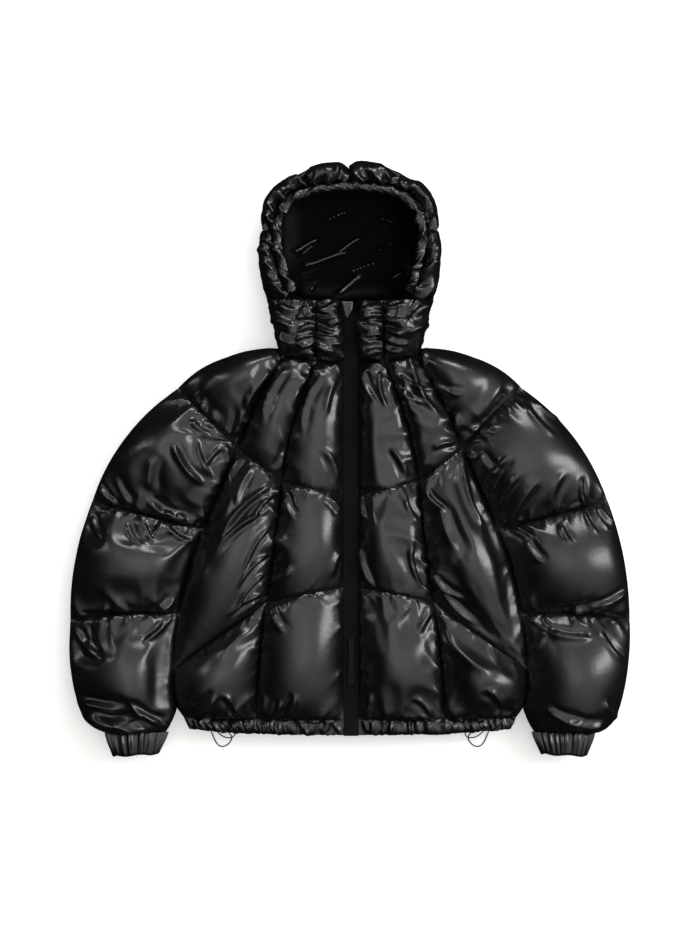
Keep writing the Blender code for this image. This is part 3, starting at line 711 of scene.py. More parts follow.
def simulate(sheets):
    """Runs every cloth together and returns where the points end up, in millimetres."""
    for sheet in sheets:
        start_cloth(sheet)
    for number in range(1, FRAMES + 1):
        bpy.context.scene.frame_set(number)
    graph = bpy.context.evaluated_depsgraph_get()
    for sheet in sheets:
        flat = np.zeros(len(sheet.start) * 3)
        mesh = sheet.object.evaluated_get(graph).to_mesh()
        mesh.vertices.foreach_get("co", flat)
        move = flat.reshape(-1, 3) / MM - sheet.start
        move = calmed(move.reshape(sheet.tall, sheet.wide, 3), sheet.slack).reshape(-1, 3)
        size = np.maximum(1e-6, np.linalg.norm(move, axis=1))[:, None]
        sheet.end = sheet.start + move * np.minimum(1, CAP / size)
        sheet.end[:, 2] = np.maximum(0, sheet.end[:, 2])
    for sheet in sheets:
        bpy.data.objects.remove(sheet.object)
    bpy.context.scene.frame_set(1)


def close_sheet(sheet):
    """The finished pad of a simulated sheet."""
    mesh = bpy.data.meshes.new(sheet.name)
    mesh.from_pydata((sheet.end * MM).tolist(), [], grid_faces(sheet.tall, sheet.wide).tolist())
    return finish_pad(sheet.name + "_pad", mesh, sheet.nodes, sheet.plane)


def edge_rings(work):
    """The open edges of a mesh, ring by ring."""
    left = {edge for edge in work.edges if edge.is_boundary}
    rings = []
    while left:
        ring, ahead = [], [left.pop()]
        while ahead:
            edge = ahead.pop()
            ring.append(edge)
            for vert in edge.verts:
                for other in vert.link_edges:
                    if other in left:
                        left.discard(other)
                        ahead.append(other)
        rings.append(ring)
    return rings


def close_rings(work, plane):
    """Closes each open ring, with walls down to the plane first where there is one."""
    if plane is not None:
        open_edges = [edge for edge in work.edges if edge.is_boundary]
        made = bmesh.ops.extrude_edge_only(work, edges=open_edges)
        for item in made["geom"]:
            if isinstance(item, bmesh.types.BMVert):
                item.co.z = min(item.co.z - 0.2 * MM, plane * MM)
    for ring in edge_rings(work):
        corners = {vert for edge in ring for vert in edge.verts}
        middle = sum((vert.co for vert in corners), Vector()) / len(corners)
        if plane is not None:
            middle.z = plane * MM
        hub = work.verts.new(middle)
        for edge in ring:
            work.faces.new((*edge.verts, hub))


def finish_pad(name, mesh, nodes, plane=None):
    """Smooths an open shell, closes it, turns its faces out and hides the parts it stands for."""
    piece = bpy.data.objects.new(name, mesh)
    bpy.context.scene.collection.objects.link(piece)
    smooth = piece.modifiers.new("Smooth", "SUBSURF")
    smooth.levels = smooth.render_levels = 1
    thin = piece.modifiers.new("Thin", "DECIMATE")
    thin.ratio = THINNED
    apply_all(piece)
    work = bmesh.new()
    work.from_mesh(piece.data)
    close_rings(work, plane)
    bmesh.ops.recalc_face_normals(work, faces=work.faces)
    work.to_mesh(piece.data)
    work.free()
    piece.data.shade_smooth()
    piece.data.set_sharp_from_angle(angle=math.radians(SHARP_ABOVE))
    piece.data.materials.append(bpy.data.materials["coated_nylon"])
    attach(piece, BODY)
    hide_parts(*nodes)
    return piece


def apply_all(piece):
    """Applies every modifier of a piece."""
    bpy.ops.object.select_all(action="DESELECT")
    bpy.context.view_layer.objects.active = piece
    piece.select_set(True)
    for modifier in list(piece.modifiers):
        bpy.ops.object.modifier_apply(modifier=modifier.name)
    piece.select_set(False)


def crossing_points(upper, side_names, lower, shares_across, shares_down):
    """A grid for a piece that crosses the middle, from the wearer's right to the left."""
    half = (len(shares_across) - 1) // 2
    out = np.linspace(0, 1, half + 1)
    top_l, here = edge_points(upper, SEAMS[upper.split()[0]][0], 1, out)
    top_r, _ = edge_points(upper, SEAMS[upper.split()[0]][0], -1, out)
    down_l, _ = edge_points(side_names, here, 1, shares_down)
    down_r, _ = edge_points(side_names, here, -1, shares_down)
    foot_l, _ = edge_points(lower, SEAMS[lower][0], 1, out)
    foot_r, _ = edge_points(lower, SEAMS[lower][0], -1, out)
    top = np.concatenate((top_r[::-1], top_l[1:]))
    foot = np.concatenate((foot_r[::-1], foot_l[1:]))
    return coons(top, down_l, foot, down_r, np.linspace(0, 1, 2 * half + 1), shares_down)


def two_sided(name, upper_grid, lower_grid, nodes):
    """A closed piece from an upper and a lower grid that share their outer points."""
    tall, wide = upper_grid.shape[:2]
    loop = border(tall, wide)
    inner = np.setdiff1d(np.arange(tall * wide), loop)
    count = tall * wide
    index = np.arange(count)
    index[inner] = count + np.arange(len(inner))
    lower = index[grid_faces(tall, wide)]
    points = np.concatenate((upper_grid.reshape(-1, 3), lower_grid.reshape(-1, 3)[inner]))
    faces = grid_faces(tall, wide).tolist() + lower[:, ::-1].tolist()
    mesh = bpy.data.meshes.new(name)
    mesh.from_pydata((points * MM).tolist(), [], faces)
    return finish_pad(name, mesh, nodes)


def make_back_pieces():
    """The back of the body: it lies flat on the floor and puckers beside its seams."""
    for number, (name, (upper, side_names, lower, loft)) in enumerate(BACK_PIECES.items()):
        height = sum(seam_length(one, 1) for one in side_names.split())
        width = 2 * max(seam_length(upper, 1), seam_length(lower, 1))
        across = np.linspace(0, 1, 2 * int(width / BACK_CELL / 2) + 1)
        down = np.linspace(0, 1, max(5, int(height / BACK_CELL)))
        grid = crossing_points(upper, side_names, lower, across, down)
        arch = profile(down, PUFF, PUFF)[:, None] * profile(across, PUFF, PUFF)[None, :]
        top, foot = grid.copy(), grid.copy()
        edge = LEVEL_MID - (grid[..., 2] - LEVEL_MID) * BACK_SEAM
        foot[..., 2] = (LEVEL_MID - loft - edge) * arch
        add_puckers(foot, arch, (0.6, 0.5, 0.6, 0.5), 500 + number)
        foot[..., 2] = np.clip(edge + foot[..., 2], 0, LEVEL_MID - 1)
        top[..., 2] = edge + (LEVEL_MID - 0.4 - edge) * np.minimum(1, arch * 8)
        two_sided(name + "_pad", top, foot, [name])


def creases(x, y, table):
    """Thin raised folds, each a soft ridge between two points."""
    total = np.zeros_like(x)
    for (x1, y1), (x2, y2), height, width in table:
        run = np.array((x2 - x1, y2 - y1), float)
        length = np.linalg.norm(run)
        run /= length
        along = (x - x1) * run[0] + (y - y1) * run[1]
        away = (x - x1) * -run[1] + (y - y1) * run[0]
        bend = 1.3 * np.sin(along / length * math.pi * 2.2)
        ends = np.clip(np.minimum(along, length - along) / 18, 0, 1)
        total += height * ends * np.exp(-((np.abs(away + bend) / width) ** 1.3))
    return total


# Folds of the smooth inside of the hood: two ends, height and width, in millimetres
LINING_FOLDS = (
    ((-104, 352), (-46, 381), 4.5, 2.2), ((-96, 343), (-52, 372), 3.5, 1.8),
    ((-30, 352), (28, 384), 4.5, 2.2), ((-88, 330), (6, 358), 4.0, 2.6),
    ((-30, 278), (30, 322), 4.0, 4.5), ((20, 402), (34, 378), 3.5, 2.0),
    ((62, 402), (48, 380), 3.5, 2.0), ((58, 308), (102, 322), 3.5, 3.0),
    ((-74, 282), (-54, 306), 4.0, 2.4), ((-18, 318), (60, 340), 3.0, 3.0),
    ((-60, 404), (10, 428), 3.0, 3.0), ((30, 350), (88, 378), 3.0, 2.4),
    ((-92, 312), (-40, 326), 3.0, 2.4), ((40, 420), (84, 398), 3.0, 3.0),
)


HOOD_BACK_ROWS, HOOD_BACK_HALF = 104, 56
# The hollow of the hood's inside, in millimetres
BOWL_HALF_WIDTH, BOWL_HALF_HEIGHT = 122, 112
BOWL_Y = 376
BOWL_DEPTH = 34


def make_hood_back():
    """The back of the hood, and its smooth inside that shows in the face opening, painted dark as
    shade except on its fold crests.
    """
    down = np.linspace(0, 1, HOOD_BACK_ROWS)
    across = np.linspace(0, 1, 2 * HOOD_BACK_HALF + 1)
    names = "crown_arc_2 crown_arc_3 collar_side"
    grid = crossing_points("crown_arc_1", names, "neck_half", across, down)
    arch = profile(down, ROUND, PUFF)[:, None] * profile(across, ROUND, ROUND)[None, :]
    edge = LEVEL_MID + 0 * grid[..., 2]
    top, foot = grid.copy(), grid.copy()
    foot[..., 2] = np.maximum(0, edge - BACK_LOFT * arch)
    x, y = grid[..., 0], grid[..., 1]
    sideways = np.abs(x / BOWL_HALF_WIDTH) ** 3.2
    lengthways = np.abs((y - BOWL_Y) / BOWL_HALF_HEIGHT) ** 3.2
    bowl = np.clip(1 - (sideways + lengthways), 0, 1) ** 0.7
    raised = creases(x, y, LINING_FOLDS) * np.minimum(1, bowl * 3)
    top[..., 2] = edge - 0.4 - BOWL_DEPTH * bowl + raised
    top[..., 2] = np.maximum(top[..., 2], foot[..., 2] + 2)
    loop = border(*grid.shape[:2])
    flat_top, flat_foot = top.reshape(-1, 3), foot.reshape(-1, 3)
    flat_top[loop, 2] = LEVEL_MID
    flat_foot[loop, 2] = LEVEL_MID
    piece = two_sided("hood_back_pad", top, foot, ["hood_back"])
    # Upward faces of the inside take the darkened nylon as painted shade, all but the fold crests,
    # which keep the shell nylon
    piece.data.materials.append(bpy.data.materials["hood_inside_painted_shade"])
    faces = piece.data.polygons
    centres = np.array([face.center for face in faces]) / MM
    risen = creases(centres[:, 0], centres[:, 1], LINING_FOLDS)
    for face, height in zip(faces, risen):
        inside = face.normal.z > 0 and face.center.z > INNER_LOW * MM
        face.material_index = 1 if inside and height < CREASE_SHADE_PAINTED_BELOW else 0


def smooth_points(points, steps):
    """Points of a smooth curve through the given points, by Catmull-Rom."""
    ends = [2 * points[0] - points[1], *points, 2 * points[-1] - points[-2]]
    made = []
    for index in range(1, len(ends) - 2):
        a, b, c, d = ends[index - 1 : index + 3]
        for step in range(steps):
            t = step / steps
            slope = (c - a) * t + (2 * a - 5 * b + 4 * c - d) * t**2
            made.append((2 * b + slope + (3 * b - a - 3 * c + d) * t**3) / 2)
    return np.array(made + [points[-1]])


def ridges(along, turn, rng, wavelength, count, sharp=1.0, slope=1.6):
    """Sharp uneven pleats across a tube or a piece."""
    total = np.zeros_like(along)
    for _ in range(count):
        wave = wavelength * rng.uniform(0.7, 1.5)
        slant = rng.uniform(-slope, slope)
        phase = rng.uniform(0, 6.28)
        swell = 0.5 + 0.5 * np.sin(along / rng.uniform(22, 60) + phase * 3 + turn)
        crest = 1 - np.abs(np.sin(math.pi * along / wave + slant * np.cos(turn) + phase))
        total += swell * crest**sharp
    return total / count


# The rim's two sizes of pleat, in millimetres, and how far they run round its tube
RIM_AROUND = 36
RIM_ALONG = 270
RIM_PLEAT_HEIGHT, RIM_PLEAT_WIDTH = 13.0, 31.0
RIM_WRINKLE_HEIGHT, RIM_WRINKLE_WIDTH = 2.6, 14.0
RIM_PLEAT_SLOPE = 2.6
RIM_DRAWN_IN = 6.4


def tube_faces(count, around):
    """The faces of a tube of rings, each with its points in order."""
    index = np.arange(count * around).reshape(count, around)
    beside = np.roll(index, -1, axis=1)
    faces = np.stack((index[:-1], index[1:], beside[1:], beside[:-1]), axis=-1)
    return faces.reshape(-1, 4).tolist()


def make_rim():
    """The gathered channel round the face opening, in two halves."""
    for side, wearer in WEARER.items():
        shares = np.linspace(0, 1, RIM_ALONG)
        edge, _ = edge_points("rim_arc_1 rim_arc_2 rim_arc_3", "rim_top", side, shares, True)
        edge = edge[:, :2]
        run = np.gradient(edge, axis=0)
        run /= np.linalg.norm(run, axis=1)[:, None]
        inwards = np.stack((run[:, 1], -run[:, 0]), axis=1) * side
        middle = edge + inwards * (RIM_RADIUS + 0.3)
        keep = middle[:, 1] > RIM_END_Y
        middle, inwards = middle[keep], inwards[keep]
        middle[0, 0] = 0
        middle[side * middle[:, 0] < 0, 0] = 0
        count = len(middle)
        along = np.concatenate(([0], np.cumsum(np.linalg.norm(np.diff(middle, axis=0), axis=1))))
        turns = np.linspace(0, 2 * math.pi, RIM_AROUND, endpoint=False)
        rng = np.random.default_rng(40 + side)
        a, t = along[:, None], turns[None, :]
        pleats = ridges(
            a + 0 * t, t + 0 * a, rng, RIM_PLEAT_WIDTH, 3, PLEAT_SHARPNESS, RIM_PLEAT_SLOPE
        )
        radius = RIM_SWELL + RIM_PLEAT_HEIGHT * pleats
        wrinkles = ridges(a + 0 * t, 2 * t + 0 * a, rng, RIM_WRINKLE_WIDTH, 3, 1.0, RIM_PLEAT_SLOPE)
        radius += RIM_WRINKLE_HEIGHT * wrinkles - RIM_DRAWN_IN
        radius *= 1 + 0.07 * np.sin(a / 13.0 + side) * np.cos(t - 1)
        radius[0] = radius[1]
        out = middle[:, None, :] - inwards[:, None, :] * (np.cos(t) * radius)[..., None]
        high = RIM_LEVEL + np.sin(t) * radius * 1.05
        grid = np.concatenate((out, high[..., None]), axis=2)
        grid[0, :, 0] = 0
        mesh = bpy.data.meshes.new("hood_rim")
        faces = tube_faces(count, RIM_AROUND)
        mesh.from_pydata((grid.reshape(-1, 3) * MM).tolist(), [], faces)
        finish_pad(f"hood_rim_{wearer}_channel", mesh, [f"hood_rim_{wearer}"])


CUFF_AROUND, CUFF_ROWS = 264, 24
CUFF_RIBS = 30
CUFF_RIB_WIDTH = 0.046  # of a turn, in radians
CUFF_RIB_HEIGHT = 0.11  # as a share of the cuff's half width
CUFF_DEPTH = 19.5
# How the cuff's end turns in: each ring's size, and how far it lies past the end
CUFF_TURN_IN = ((0.93, -1.0), (0.86, 1.5), (0.8, 7.0), (0.6, 15.0))


def make_cuffs():
    """The gathered cuffs: flattened tubes with ribs, turned in at the wrist."""
    for side, wearer in WEARER.items():
        out_top, in_top = corner("cuff_out", side), corner("cuff_in", side)
        out_end, in_end = corner("cuff_edge_out", side), corner("cuff_edge_in", side)
        rng = np.random.default_rng(70 + side)
        turns = np.linspace(0, 2 * math.pi, CUFF_AROUND, endpoint=False)
        ribs = np.zeros(CUFF_AROUND)
        for place in np.arange(0, 2 * math.pi, 2 * math.pi / CUFF_RIBS):
            place = place + rng.uniform(-0.08, 0.08)
            gap = (turns - place + math.pi) % (2 * math.pi) - math.pi
            ribs += rng.uniform(0.6, 1.2) * np.exp(-((gap / CUFF_RIB_WIDTH) ** 2))
        grid = []
        for row in range(CUFF_ROWS + 1):
            share = row / CUFF_ROWS
            outer = out_top + (out_end - out_top) * share
            inner = in_top + (in_end - in_top) * share
            middle, half = (outer + inner) / 2, (outer - inner) / 2
            swell = 1 + 0.06 * math.sin(math.pi * share) - 0.05 * (share > 0.93)
            depth = CUFF_DEPTH * swell + 2.0 * math.sin(math.pi * share)
            wave = 1 + CUFF_RIB_HEIGHT * ribs * (0.55 + 0.45 * math.cos(share * 3.1 - 0.6))
            pts = middle[None] + np.outer(np.cos(turns) * wave, half)
            pts[:, 2] = LEVEL_MID - 1 + np.sin(turns) * depth * (1 + 1.6 * (wave - 1))
            pts[:, 1] += 1.2 * np.sin(turns * 5 + side) * share
            grid.append(pts)
        last = grid[-1]
        centre = last.mean(axis=0)
        along = (out_end + in_end - out_top - in_top) / 2
        along /= np.linalg.norm(along)
        for shrink, back in CUFF_TURN_IN:
            pts = centre + (last - centre) * shrink
            grid.append(pts - along * back)
        grid = np.array(grid)
        mesh = bpy.data.meshes.new("cuff")
        faces = tube_faces(len(grid), CUFF_AROUND)
        mesh.from_pydata((grid.reshape(-1, 3) * MM).tolist(), [], faces)
        nodes = [f"cuff_front_{wearer}", f"cuff_back_{wearer}"]
        finish_pad(f"cuff_{wearer}_tube", mesh, nodes)


# Routes of the elastic cords on the left half, in millimetres
HEM_CORD = (
    (196.2, -464.5, 36), (196.2, -467.5, 33), (199.5, -471.8, 27), (206.0, -474.2, 20),
    (213.5, -473.2, 14.5), (221.0, -469.6, 11), (227.0, -464.2, 9), (228.5, -457.5, 8.5),
    (230.0, -451.0, 8.5), (234.5, -448.0, 8.5), (239.0, -451.0, 8.5), (239.2, -457.5, 8),
    (237.0, -465.0, 5), (233.9, -473.0, 2), (230.4, -481.0, 1.1), (225.6, -487.4, 1.1),
    (219.0, -490.4, 1.1), (211.8, -488.6, 1.1), (205.4, -482.8, 1.1), (202.0, -475.4, 1.3),
    (205.6, -468.2, 4), (211.5, -461.8, 10), (216.5, -456.0, 18), (219.5, -452.5, 26.6),
)
HOOD_CORD = (
    (61.0, 271.5, 90), (56.0, 267.5, 93.5), (53.2, 260.0, 95), (54.0, 251.5, 95.2),
    (58.2, 244.2, 95.2), (65.0, 240.2, 95.2), (72.6, 240.8, 95.2), (78.4, 245.8, 95.2),
    (80.6, 253.5, 95.2), (79.4, 261.5, 95.2), (75.4, 268.0, 94), (70.0, 271.8, 90.5),
)
CORD_DIAMETER = 2.0


def make_cords():
    """The ends of the elastic cords, in open loops as they lie."""
    for side, wearer in WEARER.items():
        for name, table in (("hem_cord", HEM_CORD), ("hood_cord", HOOD_CORD)):
            route = [np.array((side * x, y, z), float) for x, y, z in table]
            points = smooth_points(route, 2) * MM
            data = bpy.data.curves.new(f"{name}_{wearer}", "CURVE")
            data.dimensions = "3D"
            data.bevel_depth = CORD_DIAMETER / 2 * MM
            data.bevel_resolution = 4
            data.use_fill_caps = True
            spline = data.splines.new("POLY")
            spline.points.add(len(points) - 1)
            for target, point in zip(spline.points, points):
                target.co = (*point, 1)
            spline.use_smooth = True
            piece = bpy.data.objects.new(f"{name}_{wearer}_elastic", data)
            bpy.context.scene.collection.objects.link(piece)
            data.materials.append(bpy.data.materials["braided_elastic"])
            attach(piece, BODY)
            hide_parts(f"{name}_{wearer}")


TAPE_TOP_Y = 250.0
TAPE_END_Y = -468.0
TAPE_THICKNESS = 2.5


def boxed(name, low, high):
    """A primitive cube set between two corners, in millimetres, and left selected."""
    bpy.ops.object.select_all(action="DESELECT")
    middle = [(a + b) / 2 * MM for a, b in zip(low, high)]
    size = [(b - a) * MM for a, b in zip(low, high)]
    bpy.ops.mesh.primitive_cube_add(size=1, location=middle, scale=size)
    piece = bpy.context.active_object
    piece.name = name
    bpy.ops.object.transform_apply(location=True, rotation=True, scale=True)
    return piece


def make_zip():
    """The front zip with its teeth turned in: two woven tapes that meet at a fine line."""
    half = ZIP_HALF + 0.5
    seam_x = ZIP_X + 3.2
    bottom = ZIP_LEVEL - TAPE_THICKNESS
    strips = []
    for low_x, high_x, low_z, high_z in (
        (ZIP_X - half, seam_x + 0.5, bottom + 0.8, ZIP_LEVEL),
        (seam_x - 0.5, ZIP_X + half, bottom, ZIP_LEVEL - 0.5),
    ):
        strip = boxed("zip_strip", (low_x, TAPE_END_Y, low_z), (high_x, TAPE_TOP_Y, high_z))
        bpy.ops.object.mode_set(mode="EDIT")
        bpy.ops.mesh.subdivide(number_cuts=1)
        bpy.ops.object.mode_set(mode="OBJECT")
        edge = strip.modifiers.new("Edge", "BEVEL")
        edge.width = 0.15 * MM
        edge.segments = 2
        edge.limit_method = "ANGLE"
        apply_all(strip)
        strips.append(strip)
    bpy.ops.object.select_all(action="DESELECT")
    for strip in strips:
        strip.select_set(True)
    bpy.context.view_layer.objects.active = strips[0]
    bpy.ops.object.join()
    tape = bpy.context.active_object
    tape.name = "front_zip_tapes"
    tape.data.materials.append(bpy.data.materials["woven_tape"])
    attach(tape, BODY)
    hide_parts("zip_tape")


def make_chin_flap():
    """The folded corner of nylon over the top of the zip."""
    outline = ((-16, 268), (6, 268), (4, 252), (-5, 237), (-9, 241))
    mesh = bpy.data.meshes.new("chin_flap_fold")
    centre = np.mean(outline, axis=0)
    points, faces = [], []
    rings = ((1.0, 88.0), (1.02, 88.9), (0.9, 90.6), (0.6, 91.6), (0.25, 91.2))
    dense = []
    for index in range(len(outline)):
        a, b = np.array(outline[index], float), np.array(outline[(index + 1) % len(outline)], float)
        dense += [a + (b - a) * step / 6 for step in range(6)]
    dense = np.array(dense)
    for scale, level in rings:
        for number, point in enumerate(dense):
            x, y = centre + (point - centre) * scale
            wave = 0.5 * math.sin(number * 1.3) * (1 - scale)
            points.append((x, y, level + wave + 0.02 * (x + 5)))
    count = len(dense)
    for ring in range(len(rings) - 1):
        for number in range(count):
            a, b = ring * count + number, ring * count + (number + 1) % count
            faces.append((a, b, b + count, a + count))
    mesh.from_pydata((np.array(points) * MM).tolist(), [], faces)
    finish_pad("chin_flap_fold", mesh, ["chin_flap"])


def new_material(name):
    made = bpy.data.materials.new(name)
    made.use_nodes = True
    return made, made.node_tree, made.node_tree.nodes["Principled BSDF"]


def add_node(tree, kind, **values):
    made = tree.nodes.new(kind)
    for key, value in values.items():
        setattr(made, key, value)
    return made


def noise(tree, source, scale, detail, roughness=0.5):
    made = add_node(tree, "ShaderNodeTexNoise")
    made.inputs["Scale"].default_value = scale
    made.inputs["Detail"].default_value = detail
    made.inputs["Roughness"].default_value = roughness
    tree.links.new(source, made.inputs["Vector"])
    return made.outputs["Fac"]


def remap(tree, source, low, high, to_low, to_high):
    made = add_node(tree, "ShaderNodeMapRange")
    given = {"From Min": low, "From Max": high, "To Min": to_low, "To Max": to_high}
    for name, value in given.items():
        made.inputs[name].default_value = value
    tree.links.new(source, made.inputs["Value"])
    return made.outputs["Result"]


def weave_group():
    """A plain weave's height, at a given number of threads a metre, times two pi."""
    tree = bpy.data.node_groups.new("Weave", "ShaderNodeTree")
    tree.interface.new_socket("Threads", in_out="INPUT", socket_type="NodeSocketFloat")
    tree.interface.new_socket("Height", in_out="OUTPUT", socket_type="NodeSocketFloat")
    given = tree.nodes.new("NodeGroupInput")
    result = tree.nodes.new("NodeGroupOutput")
    place = tree.nodes.new("ShaderNodeTexCoord")
    split = tree.nodes.new("ShaderNodeSeparateXYZ")
    tree.links.new(place.outputs["Object"], split.inputs["Vector"])
    waves_made = []
    for axis in ("X", "Y"):
        turn = add_node(tree, "ShaderNodeMath", operation="MULTIPLY")
        tree.links.new(split.outputs[axis], turn.inputs[0])
        tree.links.new(given.outputs["Threads"], turn.inputs[1])
        wave = add_node(tree, "ShaderNodeMath", operation="SINE")
        tree.links.new(turn.outputs[0], wave.inputs[0])
        waves_made.append(wave)
    both = add_node(tree, "ShaderNodeMath", operation="MULTIPLY")
    tree.links.new(waves_made[0].outputs[0], both.inputs[0])
    tree.links.new(waves_made[1].outputs[0], both.inputs[1])
    tree.links.new(both.outputs[0], result.inputs["Height"])
    return tree


def place_group(tree, group, **values):
    made = tree.nodes.new("ShaderNodeGroup")
    made.node_tree = group
    for name, value in values.items():
        made.inputs[name].default_value = value
    return made


def bump(tree, height, strength, distance, before=None):
    made = tree.nodes.new("ShaderNodeBump")
    made.inputs["Strength"].default_value = strength
    made.inputs["Distance"].default_value = distance
    tree.links.new(height, made.inputs["Height"])
    if before is not None:
        tree.links.new(before, made.inputs["Normal"])
    return made.outputs["Normal"]


def tint(tree, mask, dark, light, shader):
    """Colours the surface between a dark and a light tone by a mask."""
    ramp = add_node(tree, "ShaderNodeValToRGB")
    ramp.color_ramp.elements[0].color = (*dark, 1)
    ramp.color_ramp.elements[1].color = (*light, 1)
    tree.links.new(mask, ramp.inputs["Fac"])
    tree.links.new(ramp.outputs["Color"], shader.inputs["Base Color"])


# Threads a metre, times two pi
FINE_WEAVE = 9000.0
TAPE_WEAVE = 4200.0
CORD_WEAVE = 5200.0


def make_materials():
    """The shell, the hood's inside darkened as painted shade, the zip's tape and metal, and the
    cords.
    """
    weave = weave_group()
    # Glossy coated nylon: fine crinkles from its gathers, and a tight weave
    made, tree, shader = new_material("coated_nylon")
    place = tree.nodes.new("ShaderNodeTexCoord").outputs["Object"]
    crinkle = noise(tree, place, 42, 3.0, 0.5)
    broad = noise(tree, place, 16, 2.0)
    tree.links.new(remap(tree, broad, 0.3, 0.7, 0.22, 0.3), shader.inputs["Roughness"])
    tint(tree, broad, (0.0026, 0.0028, 0.0024), (0.0048, 0.005, 0.0044), shader)
    threads = place_group(tree, weave, Threads=FINE_WEAVE).outputs["Height"]
    soft = bump(tree, crinkle, 0.22, 0.002)
    tree.links.new(bump(tree, threads, 0.06, 0.00012, soft), shader.inputs["Normal"])
    shader.inputs["Specular IOR Level"].default_value = 0.5
    # The hood's inside: the shell's nylon made near black and almost without reflection, painted
    # shade for the hood's deep hollow
    made, tree, shader = new_material("hood_inside_painted_shade")
    place = tree.nodes.new("ShaderNodeTexCoord").outputs["Object"]
    broad = noise(tree, place, 24, 3.0)
    tree.links.new(remap(tree, broad, 0.3, 0.7, 0.25, 0.38), shader.inputs["Roughness"])
    tint(tree, broad, (0.0004, 0.0004, 0.0004), (0.0009, 0.0009, 0.0008), shader)
    threads = place_group(tree, weave, Threads=FINE_WEAVE).outputs["Height"]
    tree.links.new(bump(tree, threads, 0.06, 0.00012), shader.inputs["Normal"])
    shader.inputs["Specular IOR Level"].default_value = 0.015
    # Matt woven zip tape
    made, tree, shader = new_material("woven_tape")
    threads = place_group(tree, weave, Threads=TAPE_WEAVE).outputs["Height"]
    tree.links.new(remap(tree, threads, -1, 1, 0.62, 0.8), shader.inputs["Roughness"])
    place = tree.nodes.new("ShaderNodeTexCoord").outputs["Object"]
    broad = noise(tree, place, 60, 2.0)
    tint(tree, broad, (0.003, 0.003, 0.003), (0.006, 0.006, 0.006), shader)
    tree.links.new(bump(tree, threads, 0.5, 0.0003), shader.inputs["Normal"])
    shader.inputs["Specular IOR Level"].default_value = 0.06
    # Black nickel
    made, tree, shader = new_material("black_nickel")
    place = tree.nodes.new("ShaderNodeTexCoord").outputs["Object"]
    wear = noise(tree, place, 420, 3.0)
    tree.links.new(remap(tree, wear, 0.35, 0.7, 0.28, 0.5), shader.inputs["Roughness"])
    tint(tree, wear, (0.003, 0.003, 0.0033), (0.012, 0.012, 0.0125), shader)
    shader.inputs["Metallic"].default_value = 1.0
    tree.links.new(bump(tree, wear, 0.15, 0.0002), shader.inputs["Normal"])
    # Braided elastic
    made, tree, shader = new_material("braided_elastic")
    threads = place_group(tree, weave, Threads=CORD_WEAVE).outputs["Height"]
    tree.links.new(remap(tree, threads, -1, 1, 0.5, 0.7), shader.inputs["Roughness"])
    tree.links.new(bump(tree, threads, 0.6, 0.0004), shader.inputs["Normal"])
    place = tree.nodes.new("ShaderNodeTexCoord").outputs["Object"]
    tint(tree, noise(tree, place, 900, 2.0), (0.001, 0.001, 0.001), (0.004, 0.004, 0.004), shader)
    shader.inputs["Specular IOR Level"].default_value = 0.05


def dress_hardware():
    """The slider and the pull keep their shape and take the metal."""
    for name in ("zip_slider", "zip_pull"):
        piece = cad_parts[name]
        for slot in piece.material_slots:
            slot.material = bpy.data.materials["black_nickel"]


LIGHTS = (
    # name, place, target, size, watts
    ("overhead", (-0.1, 0.2, 3.0), (0, 0, 0), (1.6, 2.4), 9),
    ("right_strip", (3.2, 0.5, 2.2), (0, 0, 0), (1.0, 2.6), 85),
    ("left_strip", (-2.6, 1.4, 2.0), (0, 0, 0), (0.35, 1.6), 12),
    ("hood_strip", (0.5, 3.0, 1.9), (0, 0.1, 0), (1.8, 0.45), 52),
)


def area_light(name, place, target, size, power):
    """A rectangular light that faces its target, with its power in watts."""
    data = bpy.data.lights.new(name, "AREA")
    data.shape = "RECTANGLE"
    data.size, data.size_y = size
    data.energy = power
    light = bpy.data.objects.new(name, data)
    light.location = place
    aim = Vector(target) - Vector(place)
    light.rotation_euler = aim.to_track_quat("-Z", "Y").to_euler()
    bpy.context.scene.collection.objects.link(light)


CAMERA_HEIGHT = 6.0
VIEW_HEIGHT = 1.586
VIEW_CENTRE_Y = -0.011


def make_camera():
    """A camera straight above, far enough away to keep the sides upright."""
    data = bpy.data.cameras.new("camera")
    data.sensor_fit = "VERTICAL"
    data.sensor_height = 24.0
    data.lens = data.sensor_height * (CAMERA_HEIGHT - LEVEL_MID * MM) / VIEW_HEIGHT
    data.clip_end = 30
    camera = bpy.data.objects.new("camera", data)
    camera.location = (0, VIEW_CENTRE_Y, CAMERA_HEIGHT)
    bpy.context.scene.collection.objects.link(camera)
    bpy.context.scene.camera = camera


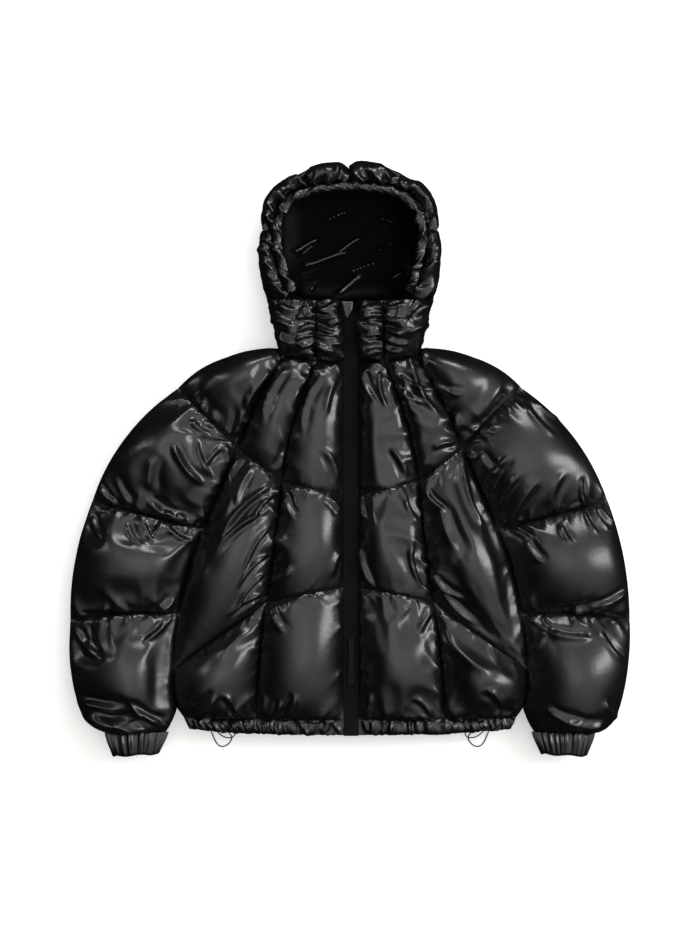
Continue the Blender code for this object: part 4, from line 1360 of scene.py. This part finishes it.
def make_studio():
    """A plain pale floor under a broad soft light, with brighter strips from both sides."""
    bpy.context.scene.view_settings.view_transform = "Standard"
    bpy.ops.object.select_all(action="DESELECT")
    bpy.ops.mesh.primitive_plane_add(size=30)
    floor = bpy.context.active_object
    floor.name = "floor"
    made, tree, shader = new_material("floor_white")
    shader.inputs["Base Color"].default_value = (0.85, 0.85, 0.85, 1)
    shader.inputs["Roughness"].default_value = 0.9
    shader.inputs["Specular IOR Level"].default_value = 0.0
    shader.inputs["Emission Color"].default_value = (1, 1, 1, 1)
    shader.inputs["Emission Strength"].default_value = FLOOR_GLOW
    floor.data.materials.append(made)
    floor.visible_glossy = False
    world = bpy.data.worlds.new("studio")
    world.use_nodes = True
    bpy.context.scene.world = world
    tree = world.node_tree
    back = tree.nodes["Background"]
    path = tree.nodes.new("ShaderNodeLightPath")
    place = tree.nodes.new("ShaderNodeTexCoord")
    lean = add_node(tree, "ShaderNodeVectorMath", operation="DOT_PRODUCT")
    lean.inputs[1].default_value = SKY_LEAN
    tree.links.new(place.outputs["Generated"], lean.inputs[0])
    sky = add_node(tree, "ShaderNodeValToRGB")
    sky.color_ramp.interpolation = "EASE"
    for stop, level in SKY:
        spot = sky.color_ramp.elements.new(stop)
        spot.color = (*(level * part for part in SKY_TINT), 1)
    sky.color_ramp.elements.remove(sky.color_ramp.elements[0])
    sky.color_ramp.elements.remove(sky.color_ramp.elements[-1])
    tree.links.new(lean.outputs["Value"], sky.inputs["Fac"])
    mix = add_node(tree, "ShaderNodeMix", data_type="RGBA")
    tree.links.new(path.outputs["Is Camera Ray"], mix.inputs["Factor"])
    tree.links.new(sky.outputs["Color"], mix.inputs[6])
    mix.inputs[7].default_value = (1, 1, 1, 1)
    tree.links.new(mix.outputs[2], back.inputs["Color"])
    for light in LIGHTS:
        area_light(*light)


FIRST_SEED = 11


def main():
    make_camera()
    make_materials()
    make_cords()
    sheets = []
    seed = FIRST_SEED
    for side in WEARER:
        for name, row in FRONT_PIECES.items():
            seed += 1
            make_sheet = lobe_sheet if name in HOOD_LOBES else pad_sheet
            sheets.append(make_sheet(name, row, side, seed))
        for name, row in ROUND_PIECES.items():
            seed += 1
            sheets.append(round_sheet(name, row, side, seed))
    simulate(sheets)
    for sheet in sheets:
        close_sheet(sheet)
    make_back_pieces()
    make_hood_back()
    make_rim()
    make_cuffs()
    make_zip()
    make_chin_flap()
    dress_hardware()
    make_studio()


main()
